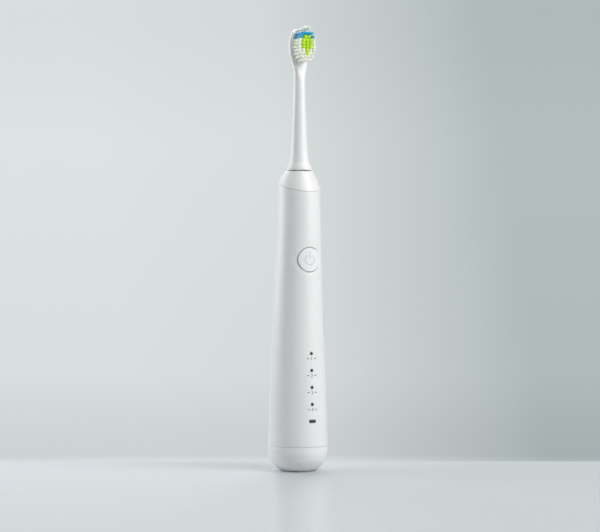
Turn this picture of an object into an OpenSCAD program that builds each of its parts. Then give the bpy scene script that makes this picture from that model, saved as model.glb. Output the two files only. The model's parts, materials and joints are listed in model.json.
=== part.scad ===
// Electric toothbrush: a sonic handle with a pull-off brush head.
// Z is up, the button side faces -Y, and the origin is the middle of the foot.

/* [Handle shell] */
// Outer radius of the handle at its foot
foot_r = 16.15; // [15.9:0.05:17]
// Outer radius of the handle at its top edge
waist_r = 11.3; // [11.1:0.1:12]
// Height of the whole handle, to the top of its collar
handle_h = 161.4; // [158:0.2:175]
// Depth of the collar's seam below the collar's top, at the shaft
collar_h = 7.8; // [7.4:0.1:9]
// Angle of the collar's seam, lower at the front
seam_tilt = 17; // [10:1:19]
// Distance from the foot's axis forward to the shaft's axis
axis_shift = 1.5; // [0.8:0.1:2]
// Wall of the handle shell
wall = 1.8; // [1.5:0.1:1.9]
// Width of the open seams at the collar and at the cap
seam_gap = 0.2; // [0.1:0.05:0.3]
// Radius of the collar's flat top
collar_top_r = 7.5; // [7:0.1:8.2]

/* [Bottom cap] */
// Height of the cap's seam above the table
cap_h = 13.4; // [13:0.1:16]
// Radius of the rounded lower edge
corner_r = 12; // [11:0.5:12.5]
// Height of that edge's centre above the table
corner_z = 10.95; // [10.5:0.05:11]
// Wall of the cap
cap_wall = 1.8; // [1.5:0.1:2]
// Height of the spigot that goes up into the shell
spigot_h = 8.6; // [8:0.1:11]
// Radius of the socket for the charger's post
socket_r = 4.5; // [4:0.05:4.6]
// Depth of that socket
socket_depth = 10; // [9:0.1:10.2]

/* [Button and lights] */
// Distance from the collar's top down to the button's centre
button_drop = 47.6; // [46.4:0.1:50.4]
// Radius of the button
button_r = 6.45; // [6:0.05:6.8]
// Open gap round the button
button_gap = 0.35; // [0.3:0.05:0.5]
// How far the button is pressed in
button_travel = 0.4; // [0.2:0.05:0.5]
// Height of the lowest mode light
light_z = 36.5; // [34:0.1:38]
// Distance from one mode light to the next
light_pitch = 9.05; // [8:0.05:9.6]
// Radius of a mode light
light_r = 0.9; // [0.6:0.05:1]
// Height of the battery light
battery_light_z = 27.5; // [26:0.1:28]
// Width of the battery light
battery_light_w = 4; // [3:0.1:4.4]
// Height of the battery light's window
battery_light_h = 1.8; // [1.4:0.1:2.2]

/* [Drive] */
// Radius of the drive shaft
shaft_r = 1.5; // [1.4:0.05:1.6]
// How far the shaft stands out of the collar
shaft_out = 22; // [20:0.5:24]
// Radius of the motor's case
motor_r = 7.5; // [7.3:0.05:7.6]
// Length of the motor's case
motor_len = 30; // [29.4:0.1:31]

/* [Battery and board] */
// Radius of the battery cell
battery_r = 9.15; // [9:0.05:9.2]
// Length of the battery cell
battery_len = 65; // [60:0.5:66]
// Thickness of the circuit board
board_t = 0.8; // [0.6:0.1:1]
// Width of the board beside the battery
board_w = 11; // [10:0.1:11.2]
// Width of the board beside the button
board_top_w = 9; // [8.4:0.1:9.2]

/* [Brush head] */
// Length of the head from its ring to the tip of its plate
head_len = 76.6; // [74:0.2:82]
// Height of the ring at the head's foot
ring_h = 3.8; // [3.4:0.1:4.4]
// Radius of that ring where it is widest
ring_r = 6.9; // [6.7:0.1:7.4]
// Radius of the neck just above the ring
neck_foot_r = 5.65; // [5.5:0.05:6]
// Radius of the neck at its thinnest
neck_r = 3.08; // [2.9:0.02:3.4]
// Height of the oval plate
plate_h = 19.2; // [18.6:0.1:21]
// Width of the oval plate
plate_w = 12.8; // [12.2:0.1:13.4]
// Thickness of the oval plate
plate_t = 4; // [3.6:0.1:4.2]
// Radius of a tuft of bristles
tuft_r = 0.75; // [0.6:0.01:0.78]
// Length of the white bristles above the plate
bristle_len = 7.4; // [6.5:0.1:9.5]
// How much further the coloured bristles stand out
bristle_step = 0.5; // [0.2:0.1:0.8]

/* [Hidden] */
$fn = 64;

// Clearances
seat_gap = 0.15;
slip_gap = 0.03;
running_gap = 0.05;
shell_gap = 0.3;
eps = 0.01;

// The shell's rings: sides round it, and rings up its outside and its inside
shell_sides = 64;
outer_rings = 22;
inner_rings = 12;

// Shape of the shell
shaft_y = -axis_shift;
seam_z = handle_h - collar_h;
taper_top_z = seam_z - waist_r * tan(seam_tilt);
taper_foot_z = cap_h + 0.6;
bulge_share = 0.25;
shift_share = 0.6;
tilt_zone = 35;
tilt_start_z = seam_z - tilt_zone;

function clamp01(t) = min(1, max(0, t));
function ease(t) = t * t * (3 - 2 * t);
function taper_at(z) = max(0, (taper_top_z - z) / (taper_top_z - taper_foot_z));
function swell(t) = t - bulge_share * sin(360 * t) / (2 * PI);
function shell_r(z) = waist_r + (foot_r - waist_r) * swell(taper_at(z));
function axis_y(z) = shaft_y * (1 - ease(clamp01(taper_at(z) / shift_share)));
function back_wall_y(z) = axis_y(z) + shell_r(z) - wall;
function front_y(z) = axis_y(z) - shell_r(z);
function tilt_at(level) = ease(clamp01((level - tilt_start_z) / (seam_z - tilt_start_z)));

// One ring of points on the shell's surface, a depth below it
function shell_ring(level, depth) = [
    for (i = [0 : shell_sides - 1])
        let (a = 360 * i / shell_sides)
        let (z = level + tilt_at(level) * tan(seam_tilt) * (waist_r - depth) * sin(a))
        let (r = shell_r(z) - depth)
        [r * cos(a), axis_y(z) + r * sin(a), z]
];

// A flat ring of points on the shell's surface, with no tilt
function level_ring(z, depth) = [
    for (i = [0 : shell_sides - 1])
        let (a = 360 * i / shell_sides)
        let (r = shell_r(z) - depth)
        [r * cos(a), axis_y(z) + r * sin(a), z]
];

function flatten_rings(rings) = [for (ring = rings) for (p = ring) p];
function side_faces(count, sides) = [
    for (k = [0 : count - 2])
        for (i = [0 : sides - 1])
            for (side = [0, 1])
                let (j = (i + 1) % sides)
                side == 0
                    ? [k * sides + i, (k + 1) * sides + i, (k + 1) * sides + j]
                    : [k * sides + i, (k + 1) * sides + j, k * sides + j]
];

// A solid stretched over a stack of rings, listed from the bottom up
module ring_stack(rings) {
    count = len(rings);
    sides = len(rings[0]);
    bottom = [for (i = [0 : sides - 1]) i];
    top = [for (i = [0 : sides - 1]) count * sides - 1 - i];
    polyhedron(flatten_rings(rings), concat(side_faces(count, sides), [bottom, top]));
}

// A tube: rings up the outside and then down the inside, closed on themselves
module ring_tube(rings) {
    closed = concat(rings, [rings[0]]);
    sides = len(rings[0]);
    total = len(rings) * sides;
    faces = [for (f = side_faces(len(closed), sides)) [for (v = f) v % total]];
    polyhedron(flatten_rings(rings), faces);
}

// The space inside the shell's surface, a depth below it, between two heights
module shell_space(depth, z0, z1, steps = 4) {
    ring_stack([for (k = [0 : steps]) level_ring(z0 + (z1 - z0) * k / steps, depth)]);
}

// A round bar along Y, and a box from one corner to the other
module bar_y(x, y0, y1, z, r) {
    translate([x, y1, z]) rotate([90, 0, 0]) cylinder(r = r, h = y1 - y0);
}
module block(low, high) {
    translate(low) cube(high - low);
}
module tube(r_out, r_in, z0, z1) {
    difference() {
        translate([0, 0, z0]) cylinder(r = r_out, h = z1 - z0);
        translate([0, 0, z0 - 1]) cylinder(r = r_in, h = z1 - z0 + 2);
    }
}
module on_shaft() {
    translate([0, shaft_y, 0]) children();
}

// A thin insulated wire along points that share one X
wire_r = 0.35;
wire_sides = 8;
function unit(v) = v / norm(v);
function wire_ring(points, i) =
    let (ahead = points[min(i + 1, len(points) - 1)])
    let (behind = points[max(i - 1, 0)])
    let (across = cross(unit(ahead - behind), [1, 0, 0]))
    [for (k = [0 : wire_sides - 1])
        points[i] + wire_r * (cos(360 * k / wire_sides) * [1, 0, 0]
                              + sin(360 * k / wire_sides) * across)];
module wire(points) {
    ring_stack([for (i = [0 : len(points) - 1]) wire_ring(points, i)]);
}

// Bottom cap, from the table up
spigot_top_z = cap_h + spigot_h;
cap_bore_r = shell_r(spigot_top_z) - wall;
spigot_r = cap_bore_r - seat_gap;
cap_floor_z = 2;
inner_corner_r = corner_r - cap_wall;
inner_foot_angle = -asin((corner_z - cap_floor_z) / inner_corner_r);
socket_wall = 1.2;
socket_top_z = socket_depth + socket_wall;
socket_lead = 0.5;
cap_seal_r = 0.6;
cap_seal_z = cap_h + 0.45 * spigot_h;
cap_seal_ring_r = cap_bore_r - running_gap - cap_seal_r;
snap_z = cap_h + 0.8 * spigot_h;
snap_h = 0.5;
snap_angle = 24;
ledge = 0.35;

// Charging coil round the socket
coil_in_r = socket_r + socket_wall + seat_gap;
flange_gap = 0.24;
flange_t = 1;
flange_lip = 0.3;
bobbin_wall = 0.75;
winding_t = 1.9;
coil_r = coil_in_r + bobbin_wall + winding_t;
flange_r = coil_r + flange_lip;
flange_reach = flange_r + flange_gap - foot_r + corner_r;
bobbin_z = max(cap_floor_z, corner_z - sqrt(pow(inner_corner_r, 2) - pow(flange_reach, 2)));
ferrite_t = 1.5;
ferrite_top_z = socket_top_z + ferrite_t;
cushion_t = 1.8;

// Chassis, battery and board
plate_z = ferrite_top_z + cushion_t;
floor_t = 2;
floor_top_z = plate_z + floor_t;
pad_t = 0.5;
tab_t = 0.2;
tab_w = 5;
tab_lap = 4;
battery_z = floor_top_z + pad_t + tab_t;
battery_top_z = battery_z + battery_len;
cradle_wall = 1;
cradle_r = battery_r + seat_gap + cradle_wall;
battery_y = back_wall_y(battery_top_z) - shell_gap - cradle_r;
spigot_in_r = battery_y + cradle_r + seat_gap;
board_gap = 0.29;
board_back_y = battery_y - battery_r - board_gap;
board_y = board_back_y - board_t;
board_z = spigot_top_z + shell_gap;
step_up = 4;
board_step_z = battery_top_z + step_up;

// Motor, hung under the collar
shelf_drop = 7.9;
shelf_z = handle_h - shelf_drop;
damper_t = 2;
motor_top_z = shelf_z - damper_t;
motor_z = motor_top_z - motor_len;
motor_wall = 0.6;
motor_seat_z = motor_z - damper_t;
top_plate_z = motor_seat_z - 1.5;
board_top_z = top_plate_z - 0.4;
skirt_r = waist_r - wall - seat_gap;
skirt_in_r = motor_r + 0.4;
skirt_len = 18.1;
skirt_z = handle_h - skirt_len;
collar_seal_r = 0.45;
collar_seal_ring_r = waist_r - wall - running_gap - collar_seal_r;
collar_seal_up = 3;
collar_seal_z = skirt_z + collar_seal_up;
seal_hole_r = 4.6;
seal_flange_z = handle_h - 2.8;
bearing_r = 3;
bearing_boss_r = 3.8;
bearing_out = 3;
bearing_in = 4;
bearing_floor = 0.7;

// Light windows
window_depth = wall + seat_gap;
lens_depth = window_depth + 0.6;
tunnel_r = light_r + 0.4;
block_half_w = 2.7;
block_below = 2.6;
block_above = 3.2;
block_z0 = battery_light_z - block_below;
block_z1 = light_z + 3 * light_pitch + block_above;
function light_height(i) = light_z + (3 - i) * light_pitch;
led_h = 0.6;

// Button and switch
button_z = handle_h - button_drop;
button_hole_r = button_r + button_gap;
button_wall = 1.15;
membrane_t = 0.4;
membrane_gap = 0.1;
membrane_r = button_hole_r + 0.9;
membrane_depth = wall + membrane_gap + membrane_t;
switch_h = 1.2;
switch_half_w = 1.8;
switch_half_h = 1.6;
plunger_r = 0.9;
plunger_out = 0.1 + button_travel;
press_gap = 0.1;
post_r = 1.2;
post_y = board_y - switch_h - plunger_out - press_gap;

// Brush head
head_z = handle_h + 0.5;
head_top_z = head_z + head_len;
ring_top_z = head_z + ring_h;
ring_bore_r = 4.6;
shaft_top_z = handle_h + shaft_out;
flat_y = 0.95;
insert_r = shaft_r + 1.4;
insert_top_z = shaft_top_z + 3;
neck_blend = 6.2;
neck_top_z = head_top_z - plate_h - neck_blend;
plate_mid_z = head_top_z - plate_h / 2;
plate_front = 1.6;
plate_round = 1.6;
hole_depth = 2.6;
anchor_depth = 1.1;
anchor_t = 0.25;

// Tufts, row by row from the tip: share of the plate's height, share of its
// width, colour of each tuft, and how far the row leans up towards the tip
tuft_rows = [
    [0.43, 0.095, "ww", 10],
    [0.328, 0.225, "bbbb", 1],
    [0.236, 0.262, "bggb", 0],
    [0.144, 0.324, "wgggw", 0],
    [0.052, 0.348, "wgggw", 0],
    [-0.04, 0.352, "wgggw", 0],
    [-0.132, 0.338, "wwgww", 0],
    [-0.224, 0.305, "wwgww", 0],
    [-0.316, 0.235, "wwww", 0],
    [-0.408, 0.145, "www", 0]
];
function tuft_x(row, i) = plate_w * row[1] * (2 * i / (len(row[2]) - 1) - 1);
function tuft_z(row) = plate_mid_z + plate_h * row[0];

// Places a child at every tuft of a colour, pointing out of the plate along +Z
module at_tufts(colours) {
    for (row = tuft_rows)
        for (i = [0 : len(row[2]) - 1])
            if (len(search(row[2][i], colours)) > 0)
                translate([tuft_x(row, i), shaft_y - plate_front, tuft_z(row)])
                    rotate([90 - row[3], 0, 0])
                        children();
}

module tufts(colours, length) {
    sunk = hole_depth - anchor_depth;
    at_tufts(colours) translate([0, 0, -sunk]) cylinder(r = tuft_r, h = sunk + length);
}

// Radius of the neck at a share of its height, flared at its foot
function neck_radius(t) =
    neck_r + (neck_foot_r - 0.7 - neck_r) * pow(1 - t, 1.4) + 0.7 * exp(-16 * t);

// Oval outline of the plate, drawn in X and Y
plate_power = 2.3;
function signed_power(v, p) = sign(v) * pow(abs(v), p);
module plate_outline(inset) {
    polygon([for (i = [0 : 47])
        let (a = 7.5 * i)
        [(plate_w / 2 - inset) * signed_power(cos(a), 2 / plate_power),
         (plate_h / 2 - inset) * signed_power(sin(a), 2 / plate_power)]]);
}

module plate_slab(inset, y0, y1) {
    translate([0, shaft_y + y1, plate_mid_z])
        rotate([90, 0, 0]) linear_extrude(y1 - y0) plate_outline(inset);
}

module plate_solid() {
    hull() {
        plate_slab(0.3, -plate_front, -plate_front + 0.4);
        plate_slab(0, -plate_front + 0.3, 0.5);
        plate_slab(plate_round, 0.4, plate_t - plate_front);
    }
}

module head_shell() color("white") difference() {
    union() {
        on_shaft() rotate_extrude() polygon(concat(
            [[0, neck_top_z], [0, head_z + 0.4], [ring_bore_r - running_gap, head_z + 0.4],
             [ring_bore_r - running_gap, ring_top_z]],
            [for (i = [0 : 14])
                [neck_radius(i / 14), ring_top_z + (neck_top_z - ring_top_z) * i / 14]]));
        hull() {
            on_shaft() translate([0, 0, neck_top_z - 0.5])
                cylinder(r = neck_r, h = 0.5, $fn = 32);
            intersection() {
                plate_solid();
                block([-plate_w, -20, head_top_z - plate_h + 0.8],
                      [plate_w, 20, head_top_z - plate_h + 3]);
            }
        }
        plate_solid();
    }
    at_tufts("wbg") translate([0, 0, -hole_depth])
        cylinder(r = tuft_r + slip_gap, h = hole_depth + 1);
    on_shaft() translate([0, 0, head_z - 1])
        cylinder(r = insert_r + slip_gap, h = insert_top_z - head_z + 1);
}

module head_base_ring() color("white") on_shaft() rotate_extrude() polygon([
    [ring_bore_r, head_z], [ring_r - 0.4, head_z], [ring_r, head_z + 0.4],
    [ring_r - 0.15, head_z + 0.35 * ring_h], [neck_foot_r + 0.35, ring_top_z - 0.3],
    [neck_foot_r + 0.1, ring_top_z - running_gap], [ring_bore_r, ring_top_z - running_gap]
]);

module drive_socket() color("gainsboro") on_shaft() difference() {
    translate([0, 0, head_z + 1]) cylinder(r = insert_r, h = insert_top_z - head_z - 1);
    translate([0, 0, head_z]) cylinder(r = shaft_r + running_gap, h = shaft_top_z - head_z + 0.6);
}

socket_clip_t = 0.25;
socket_clip_len = 14.5;
module socket_clip() color("silver") on_shaft()
    block([-0.45 * shaft_r, flat_y + press_gap, shaft_top_z - 1.5 - socket_clip_len],
          [0.45 * shaft_r, flat_y + press_gap + socket_clip_t, shaft_top_z - 1.5]);

module bristles_blue() color("deepskyblue") tufts("b", bristle_len + 0.7 * bristle_step);
module bristles_green() color("greenyellow") tufts("g", bristle_len + bristle_step);
module bristles_white() color("whitesmoke") tufts("w", bristle_len);

module tuft_anchors() color("goldenrod")
    at_tufts("wbg") translate([0, 0, -hole_depth + slip_gap])
        block([-tuft_r + 0.1, -anchor_t / 2, 0],
              [tuft_r - 0.1, anchor_t / 2, anchor_depth - 2 * slip_gap]);

// Rotor: shaft, core, magnets and the clip above the front bearing
shaft_foot_z = motor_z + 1.2;
rotor_core_r = shaft_r + 0.65;
magnet_t = 1.2;
magnet_r = rotor_core_r + running_gap + magnet_t;
rotor_foot = 7;
rotor_head = 6;
rotor_z0 = motor_z + rotor_foot;
rotor_z1 = motor_top_z - rotor_head;
clip_z = motor_top_z + bearing_out + 0.2;
clip_t = 0.6;

module drive_shaft() color("silver") on_shaft() difference() {
    rotate_extrude() polygon([
        [0, shaft_foot_z], [shaft_r, shaft_foot_z], [shaft_r, clip_z - slip_gap],
        [shaft_r - 0.3, clip_z - slip_gap], [shaft_r - 0.3, clip_z + clip_t + slip_gap],
        [shaft_r, clip_z + clip_t + slip_gap], [shaft_r, shaft_top_z - 0.4],
        [shaft_r - 0.4, shaft_top_z], [0, shaft_top_z]
    ]);
    block([-5, flat_y, handle_h + 5], [5, 5, shaft_top_z + 1]);
}

module rotor_core() color("dimgray") on_shaft()
    tube(rotor_core_r, shaft_r + slip_gap, rotor_z0, rotor_z1);

module rotor_magnets() color("slategray") on_shaft()
    for (i = [0 : 3])
        rotate([0, 0, 90 * i + 10])
            rotate_extrude(angle = 70)
                translate([rotor_core_r + running_gap, rotor_z0 + 1])
                    square([magnet_t, rotor_z1 - rotor_z0 - 2]);

module shaft_clip() color("dimgray") on_shaft() difference() {
    tube(2 * shaft_r - 0.1, shaft_r - 0.3 + slip_gap, clip_z, clip_z + clip_t);
    block([-0.8, 0, clip_z - 1], [0.8, 5, clip_z + clip_t + 1]);
}

// Handle shell, open at both ends
module body_shell() color("white") difference() {
    z0 = cap_h + seam_gap;
    ledge_z = spigot_top_z + 1;
    ring_tube(concat(
        [for (k = [0 : outer_rings]) shell_ring(z0 + (seam_z - z0) * k / outer_rings, 0)],
        [for (k = [inner_rings : -1 : 0])
            shell_ring(ledge_z + 1 + (seam_z - ledge_z - 1) * k / inner_rings, wall)],
        [shell_ring(ledge_z, shell_r(ledge_z) - cap_bore_r + ledge),
         shell_ring(z0, shell_r(z0) - cap_bore_r + ledge)]
    ));
    translate([0, 0, z0 - 1]) cylinder(r = cap_bore_r, h = spigot_top_z + seat_gap - z0 + 1);
    for (side = [0, 180])
        rotate([0, 0, side - snap_angle / 2 - 2])
            rotate_extrude(angle = snap_angle + 4)
                translate([cap_bore_r - 0.5, snap_z - snap_h - seat_gap])
                    square([0.5 + snap_h + seat_gap, 2 * (snap_h + seat_gap)]);
    bar_y(0, front_y(button_z) - 2, axis_y(button_z), button_z, button_hole_r);
    for (i = [0 : 3])
        bar_y(0, front_y(light_height(i)) - 2, board_y, light_height(i), light_r + slip_gap);
    battery_window(slip_gap, front_y(battery_light_z) - 2, board_y);
}

// Bar with rounded corners for the battery light
window_round = 0.35;
module battery_window(gap, y0, y1) {
    half_w = battery_light_w / 2;
    half_h = battery_light_h / 2;
    reach = half_w - window_round;
    rise = half_h - window_round;
    for (x = [-reach, reach])
        for (dz = [-rise, rise])
            bar_y(x, y0, y1, battery_light_z + dz, window_round + gap);
    block([-half_w - gap, y0, battery_light_z - rise], [half_w + gap, y1, battery_light_z + rise]);
    block([-reach, y0, battery_light_z - half_h - gap], [reach, y1, battery_light_z + half_h + gap]);
}

// Collar: from the tilted seam to its round top, with a skirt down into the shell
collar_rings = 6;
collar_bulge = 0.3;
function collar_ring(t) = [
    for (i = [0 : shell_sides - 1])
        let (a = 360 * i / shell_sides)
        let (r = waist_r + (collar_top_r - waist_r) * t + collar_bulge * sin(180 * t))
        let (low = seam_z + seam_gap + tan(seam_tilt) * waist_r * sin(a))
        [r * cos(a), shaft_y + r * sin(a), low + (handle_h - low) * t]
];

module top_collar() color("white") difference() {
    union() {
        ring_stack([for (k = [0 : collar_rings]) collar_ring(k / collar_rings)]);
        on_shaft() difference() {
            translate([0, 0, skirt_z]) cylinder(r = skirt_r, h = handle_h - skirt_z);
            translate([0, 0, seam_z + seam_gap + 1]) rotate([seam_tilt, 0, 0])
                translate([-30, -30, 0]) cube([60, 60, 30]);
        }
    }
    on_shaft() {
        translate([0, 0, skirt_z - 1]) cylinder(r = skirt_in_r, h = shelf_z - skirt_z + 1);
        translate([0, 0, shelf_z - eps])
            cylinder(r1 = skirt_in_r - 0.7, r2 = seal_hole_r + 1, h = seal_flange_z - shelf_z + eps);
        translate([0, 0, shelf_z]) cylinder(r = seal_hole_r, h = handle_h - shelf_z + 1);
        rotate_extrude() translate([collar_seal_ring_r - collar_seal_r - slip_gap,
                                    collar_seal_z - collar_seal_r - seat_gap])
            square([2, 2 * (collar_seal_r + seat_gap)]);
    }
}

module collar_seal() color("dimgray") on_shaft()
    rotate_extrude() translate([collar_seal_ring_r, collar_seal_z]) circle(r = collar_seal_r);

// Silicone boot that closes the collar round the shaft
module shaft_seal() color("whitesmoke") on_shaft() rotate_extrude() polygon([
    [shaft_r + running_gap, seal_flange_z - 1], [seal_hole_r + 0.7, seal_flange_z - 1],
    [seal_hole_r + 0.7, seal_flange_z], [seal_hole_r - slip_gap, seal_flange_z],
    [seal_hole_r - slip_gap, handle_h - 0.3], [seal_hole_r - 0.8, handle_h - 0.3],
    [seal_hole_r - 1.1, handle_h - 1.6], [shaft_r + 0.9, handle_h - 1.6],
    [shaft_r + 0.6, handle_h - 0.2], [shaft_r + running_gap, handle_h - 0.2]
]);

// Button, curved as the shell is, with the post that works the switch
module button_cap() color("white") {
    z0 = button_z - button_r - 1;
    z1 = button_z + button_r + 1;
    difference() {
        intersection() {
            bar_y(0, front_y(button_z) - 2, board_y, button_z, button_r);
            shell_space(0, z0, z1, 6);
        }
        shell_space(button_wall, z0 - 1, z1 + 1, 6);
    }
    bar_y(0, front_y(button_z) + 0.6, post_y, button_z, post_r);
}

module button_membrane() color("lightgray") difference() {
    z0 = button_z - membrane_r - 1;
    z1 = button_z + membrane_r + 1;
    intersection() {
        bar_y(0, front_y(button_z), axis_y(button_z), button_z, membrane_r);
        shell_space(wall + membrane_gap, z0, z1, 6);
    }
    shell_space(membrane_depth, z0 - 1, z1 + 1, 6);
    bar_y(0, front_y(button_z) - 1, board_y + 1, button_z, post_r + 0.5);
}

// Lenses, flush with the shell and reaching into the light block
module mode_lens(i) color("darkgray") difference() {
    z = light_height(i);
    intersection() {
        bar_y(0, front_y(z) - 2, board_y, z, light_r);
        shell_space(0, z - 3, z + 3, 2);
    }
    shell_space(lens_depth, z - 4, z + 4, 2);
}

module battery_lens() color("dimgray") difference() {
    z = battery_light_z;
    intersection() {
        battery_window(0, front_y(z) - 2, board_y);
        shell_space(0, z - 3, z + 3, 2);
    }
    shell_space(lens_depth, z - 4, z + 4, 2);
}

// Black block that keeps each light in its own tunnel
module light_block() color("black") difference() {
    intersection() {
        block([-block_half_w, -foot_r, block_z0], [block_half_w, board_y, block_z1]);
        shell_space(window_depth, block_z0 - 1, block_z1 + 1, 8);
    }
    for (i = [0 : 3])
        bar_y(0, -foot_r, board_y + 1, light_height(i), tunnel_r);
    battery_window(0.3, -foot_r, board_y + 1);
}

// Circuit board with its parts
screw_up = 3;
screw_foot_z = battery_top_z + screw_up;
board_screw_z = [screw_foot_z, (screw_foot_z + board_top_z) / 2];
screw_r = 0.75;
screw_hole_r = 0.9;
screw_head_r = 1.5;
screw_head_t = 0.8;
screw_len = 3;
module circuit_board() color("darkgreen") difference() {
    union() {
        block([-board_w / 2, board_y, board_z], [board_w / 2, board_back_y, board_step_z]);
        block([-board_top_w / 2, board_y, board_step_z - 1],
              [board_top_w / 2, board_back_y, board_top_z]);
    }
    for (z = board_screw_z)
        bar_y(0, board_y - 1, board_back_y + 1, z, screw_hole_r);
}

module board_screws() color("silver") for (z = board_screw_z) {
    bar_y(0, board_y - screw_head_t, board_y, z, screw_head_r);
    bar_y(0, board_y - eps, board_back_y + screw_len, z, screw_r);
}

module indicator_leds() color("lightyellow") {
    for (i = [0 : 3])
        block([-0.8, board_y - led_h, light_height(i) - 0.4], [0.8, board_y, light_height(i) + 0.4]);
    block([-0.8, board_y - led_h, battery_light_z - 0.4], [0.8, board_y, battery_light_z + 0.4]);
}

module switch_body() color("gray") difference() {
    block([-switch_half_w, board_y - switch_h, button_z - switch_half_h],
          [switch_half_w, board_y, button_z + switch_half_h]);
    bar_y(0, board_y - switch_h - 1, board_y - 0.15, button_z, plunger_r + running_gap);
}

module switch_plunger() color("black")
    bar_y(0, board_y - switch_h - plunger_out, board_y - 0.25 - button_travel, button_z, plunger_r);

// Chip and coil above the light block, and small parts beside it
chip_half = 3;
chip_t = 0.9;
chip_z = block_z1 + chip_half + 1;
module controller_chip() color("black")
    block([-chip_half, board_y - chip_t, chip_z - chip_half],
          [chip_half, board_y, chip_z + chip_half]);

part_w = 1.6;
part_h = 1;
part_t = 0.5;
part_gap = 0.5;
coil_part_w = 4;
coil_part_h = 3;
coil_part_t = 1.2;
coil_part_z = chip_z + chip_half + part_gap;
module board_parts() color("peru") {
    for (i = [0 : 3])
        for (side = [-1, 1])
            scale([side, 1, 1])
                block([block_half_w + part_gap, board_y - part_t, light_height(i) - part_h / 2],
                      [block_half_w + part_gap + part_w, board_y, light_height(i) + part_h / 2]);
    block([-coil_part_w / 2, board_y - coil_part_t, coil_part_z],
          [coil_part_w / 2, board_y, coil_part_z + coil_part_h]);
}

// Chassis: floor, battery cradle, board rails, ribs and motor seat in one moulding
rail_t = 1.1;
rail_back_y = battery_y - sqrt(pow(battery_r + seat_gap, 2) - pow(board_w / 2 + seat_gap, 2));
membrane_back_y = axis_y(button_z) - sqrt(
    pow(shell_r(button_z) - membrane_depth - seat_gap, 2)
    - pow(board_top_w / 2 + seat_gap + rail_t, 2));
module board_rail(half_w, front, z0, z1) {
    for (side = [-1, 1])
        scale([side, 1, 1]) {
            block([half_w + seat_gap, front, z0],
                  [half_w + seat_gap + rail_t, rail_back_y, z1]);
            block([half_w - 0.7, board_back_y + slip_gap, z0],
                  [half_w + seat_gap + eps, board_back_y + 1, z1]);
        }
}

rib_t = 1.5;
module rib(z) intersection() {
    translate([0, axis_y(z + rib_t), z])
        cylinder(r = shell_r(z + rib_t) - wall - shell_gap, h = rib_t);
    block([-foot_r, board_back_y + slip_gap, z], [foot_r, foot_r, z + rib_t]);
}

// The rib that joins the rails' feet to the cradle, open for the battery and its tab
module foot_rib(z) difference() {
    rib(z);
    translate([0, battery_y, z - 1]) cylinder(r = battery_r + seat_gap, h = rib_t + 2);
    block([-tab_w / 2 - 1, board_back_y - 1, z - 1], [tab_w / 2 + 1, battery_y, z + rib_t + 1]);
}

spine_y = shaft_y + motor_r - 1;
cradle_over = 2.5;
cradle_top_z = battery_top_z + cradle_over;
screw_boss = 2.2;
module chassis() color("whitesmoke") difference() {
    union() {
        intersection() {
            translate([0, 0, plate_z]) cylinder(r = spigot_in_r - shell_gap, h = floor_t);
            block([-foot_r, board_back_y, plate_z], [foot_r, foot_r, floor_top_z]);
        }
        translate([0, battery_y, 0]) difference() {
            tube(cradle_r, battery_r + seat_gap, floor_top_z - 0.5, cradle_top_z);
            block([-foot_r, -foot_r, 0], [foot_r, -3, handle_h]);
        }
        board_rail(board_w / 2, board_y, board_z, board_step_z + 1);
        foot_rib(board_z + tab_lap);
        for (z = board_screw_z)
            rib(z - rib_t / 2);
        board_rail(board_top_w / 2, max(board_y, membrane_back_y),
                   board_step_z + seat_gap, board_top_z + 1);
        for (side = [-1, 1])
            scale([side, 1, 1])
                block([board_top_w / 2 + seat_gap, board_y, board_step_z + seat_gap],
                      [board_w / 2 + seat_gap + rail_t, rail_back_y, board_step_z + 1.5]);
        block([-6, spine_y, cradle_top_z], [6, spine_y + 1.4, top_plate_z + 0.5]);
        for (z = board_screw_z)
            block([-screw_boss, board_back_y + slip_gap, z - screw_boss],
                  [screw_boss, board_back_y + screw_len + 1, z + screw_boss]);
        on_shaft() {
            translate([0, 0, top_plate_z]) cylinder(r = motor_r + 0.6, h = motor_seat_z - top_plate_z);
            difference() {
                tube(motor_r + 1.2, motor_r + seat_gap, top_plate_z, skirt_z - 0.3);
                block([-foot_r, -foot_r, top_plate_z - 1], [foot_r, -2, handle_h]);
            }
        }
    }
    for (z = board_screw_z)
        bar_y(0, board_back_y - 1, board_back_y + screw_len + 0.4, z, screw_r + slip_gap);
}

// Battery with its pad and welded tabs
module battery_cell() color("steelblue") translate([0, battery_y, battery_z])
    rotate_extrude() polygon([
        [0, 0], [battery_r - 0.4, 0], [battery_r, 0.4], [battery_r, battery_len - 4],
        [battery_r - 0.4, battery_len - 3.4], [battery_r - 0.4, battery_len - 2.8],
        [battery_r, battery_len - 2.2], [battery_r, battery_len - 1], [battery_r - 0.8, battery_len - 0.6],
        [3.2, battery_len - 0.6], [3.2, battery_len], [0, battery_len]
    ]);

module battery_pad() color("dimgray")
    translate([0, battery_y, floor_top_z]) cylinder(r = battery_r - 1, h = pad_t);

module battery_tab_bottom() color("silver") {
    block([-tab_w / 2, board_back_y + slip_gap, battery_z - tab_t],
          [tab_w / 2, battery_y + 3, battery_z]);
    block([-tab_w / 2, board_back_y + slip_gap, battery_z - tab_t],
          [tab_w / 2, board_back_y + slip_gap + tab_t, board_z + tab_lap]);
}

module battery_tab_top() color("silver") {
    block([-tab_w / 2, board_back_y + slip_gap, battery_top_z],
          [tab_w / 2, battery_y + 3, battery_top_z + tab_t]);
    block([-tab_w / 2, board_back_y + slip_gap, battery_top_z - tab_lap],
          [tab_w / 2, board_back_y + slip_gap + tab_t, battery_top_z + tab_t]);
}

// Motor: case, end plates, stator and bearings
plate_r = motor_r - motor_wall - slip_gap;
motor_plate_t = 1.5;
module motor_case() color("silver") on_shaft()
    tube(motor_r, motor_r - motor_wall, motor_z, motor_top_z);

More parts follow.
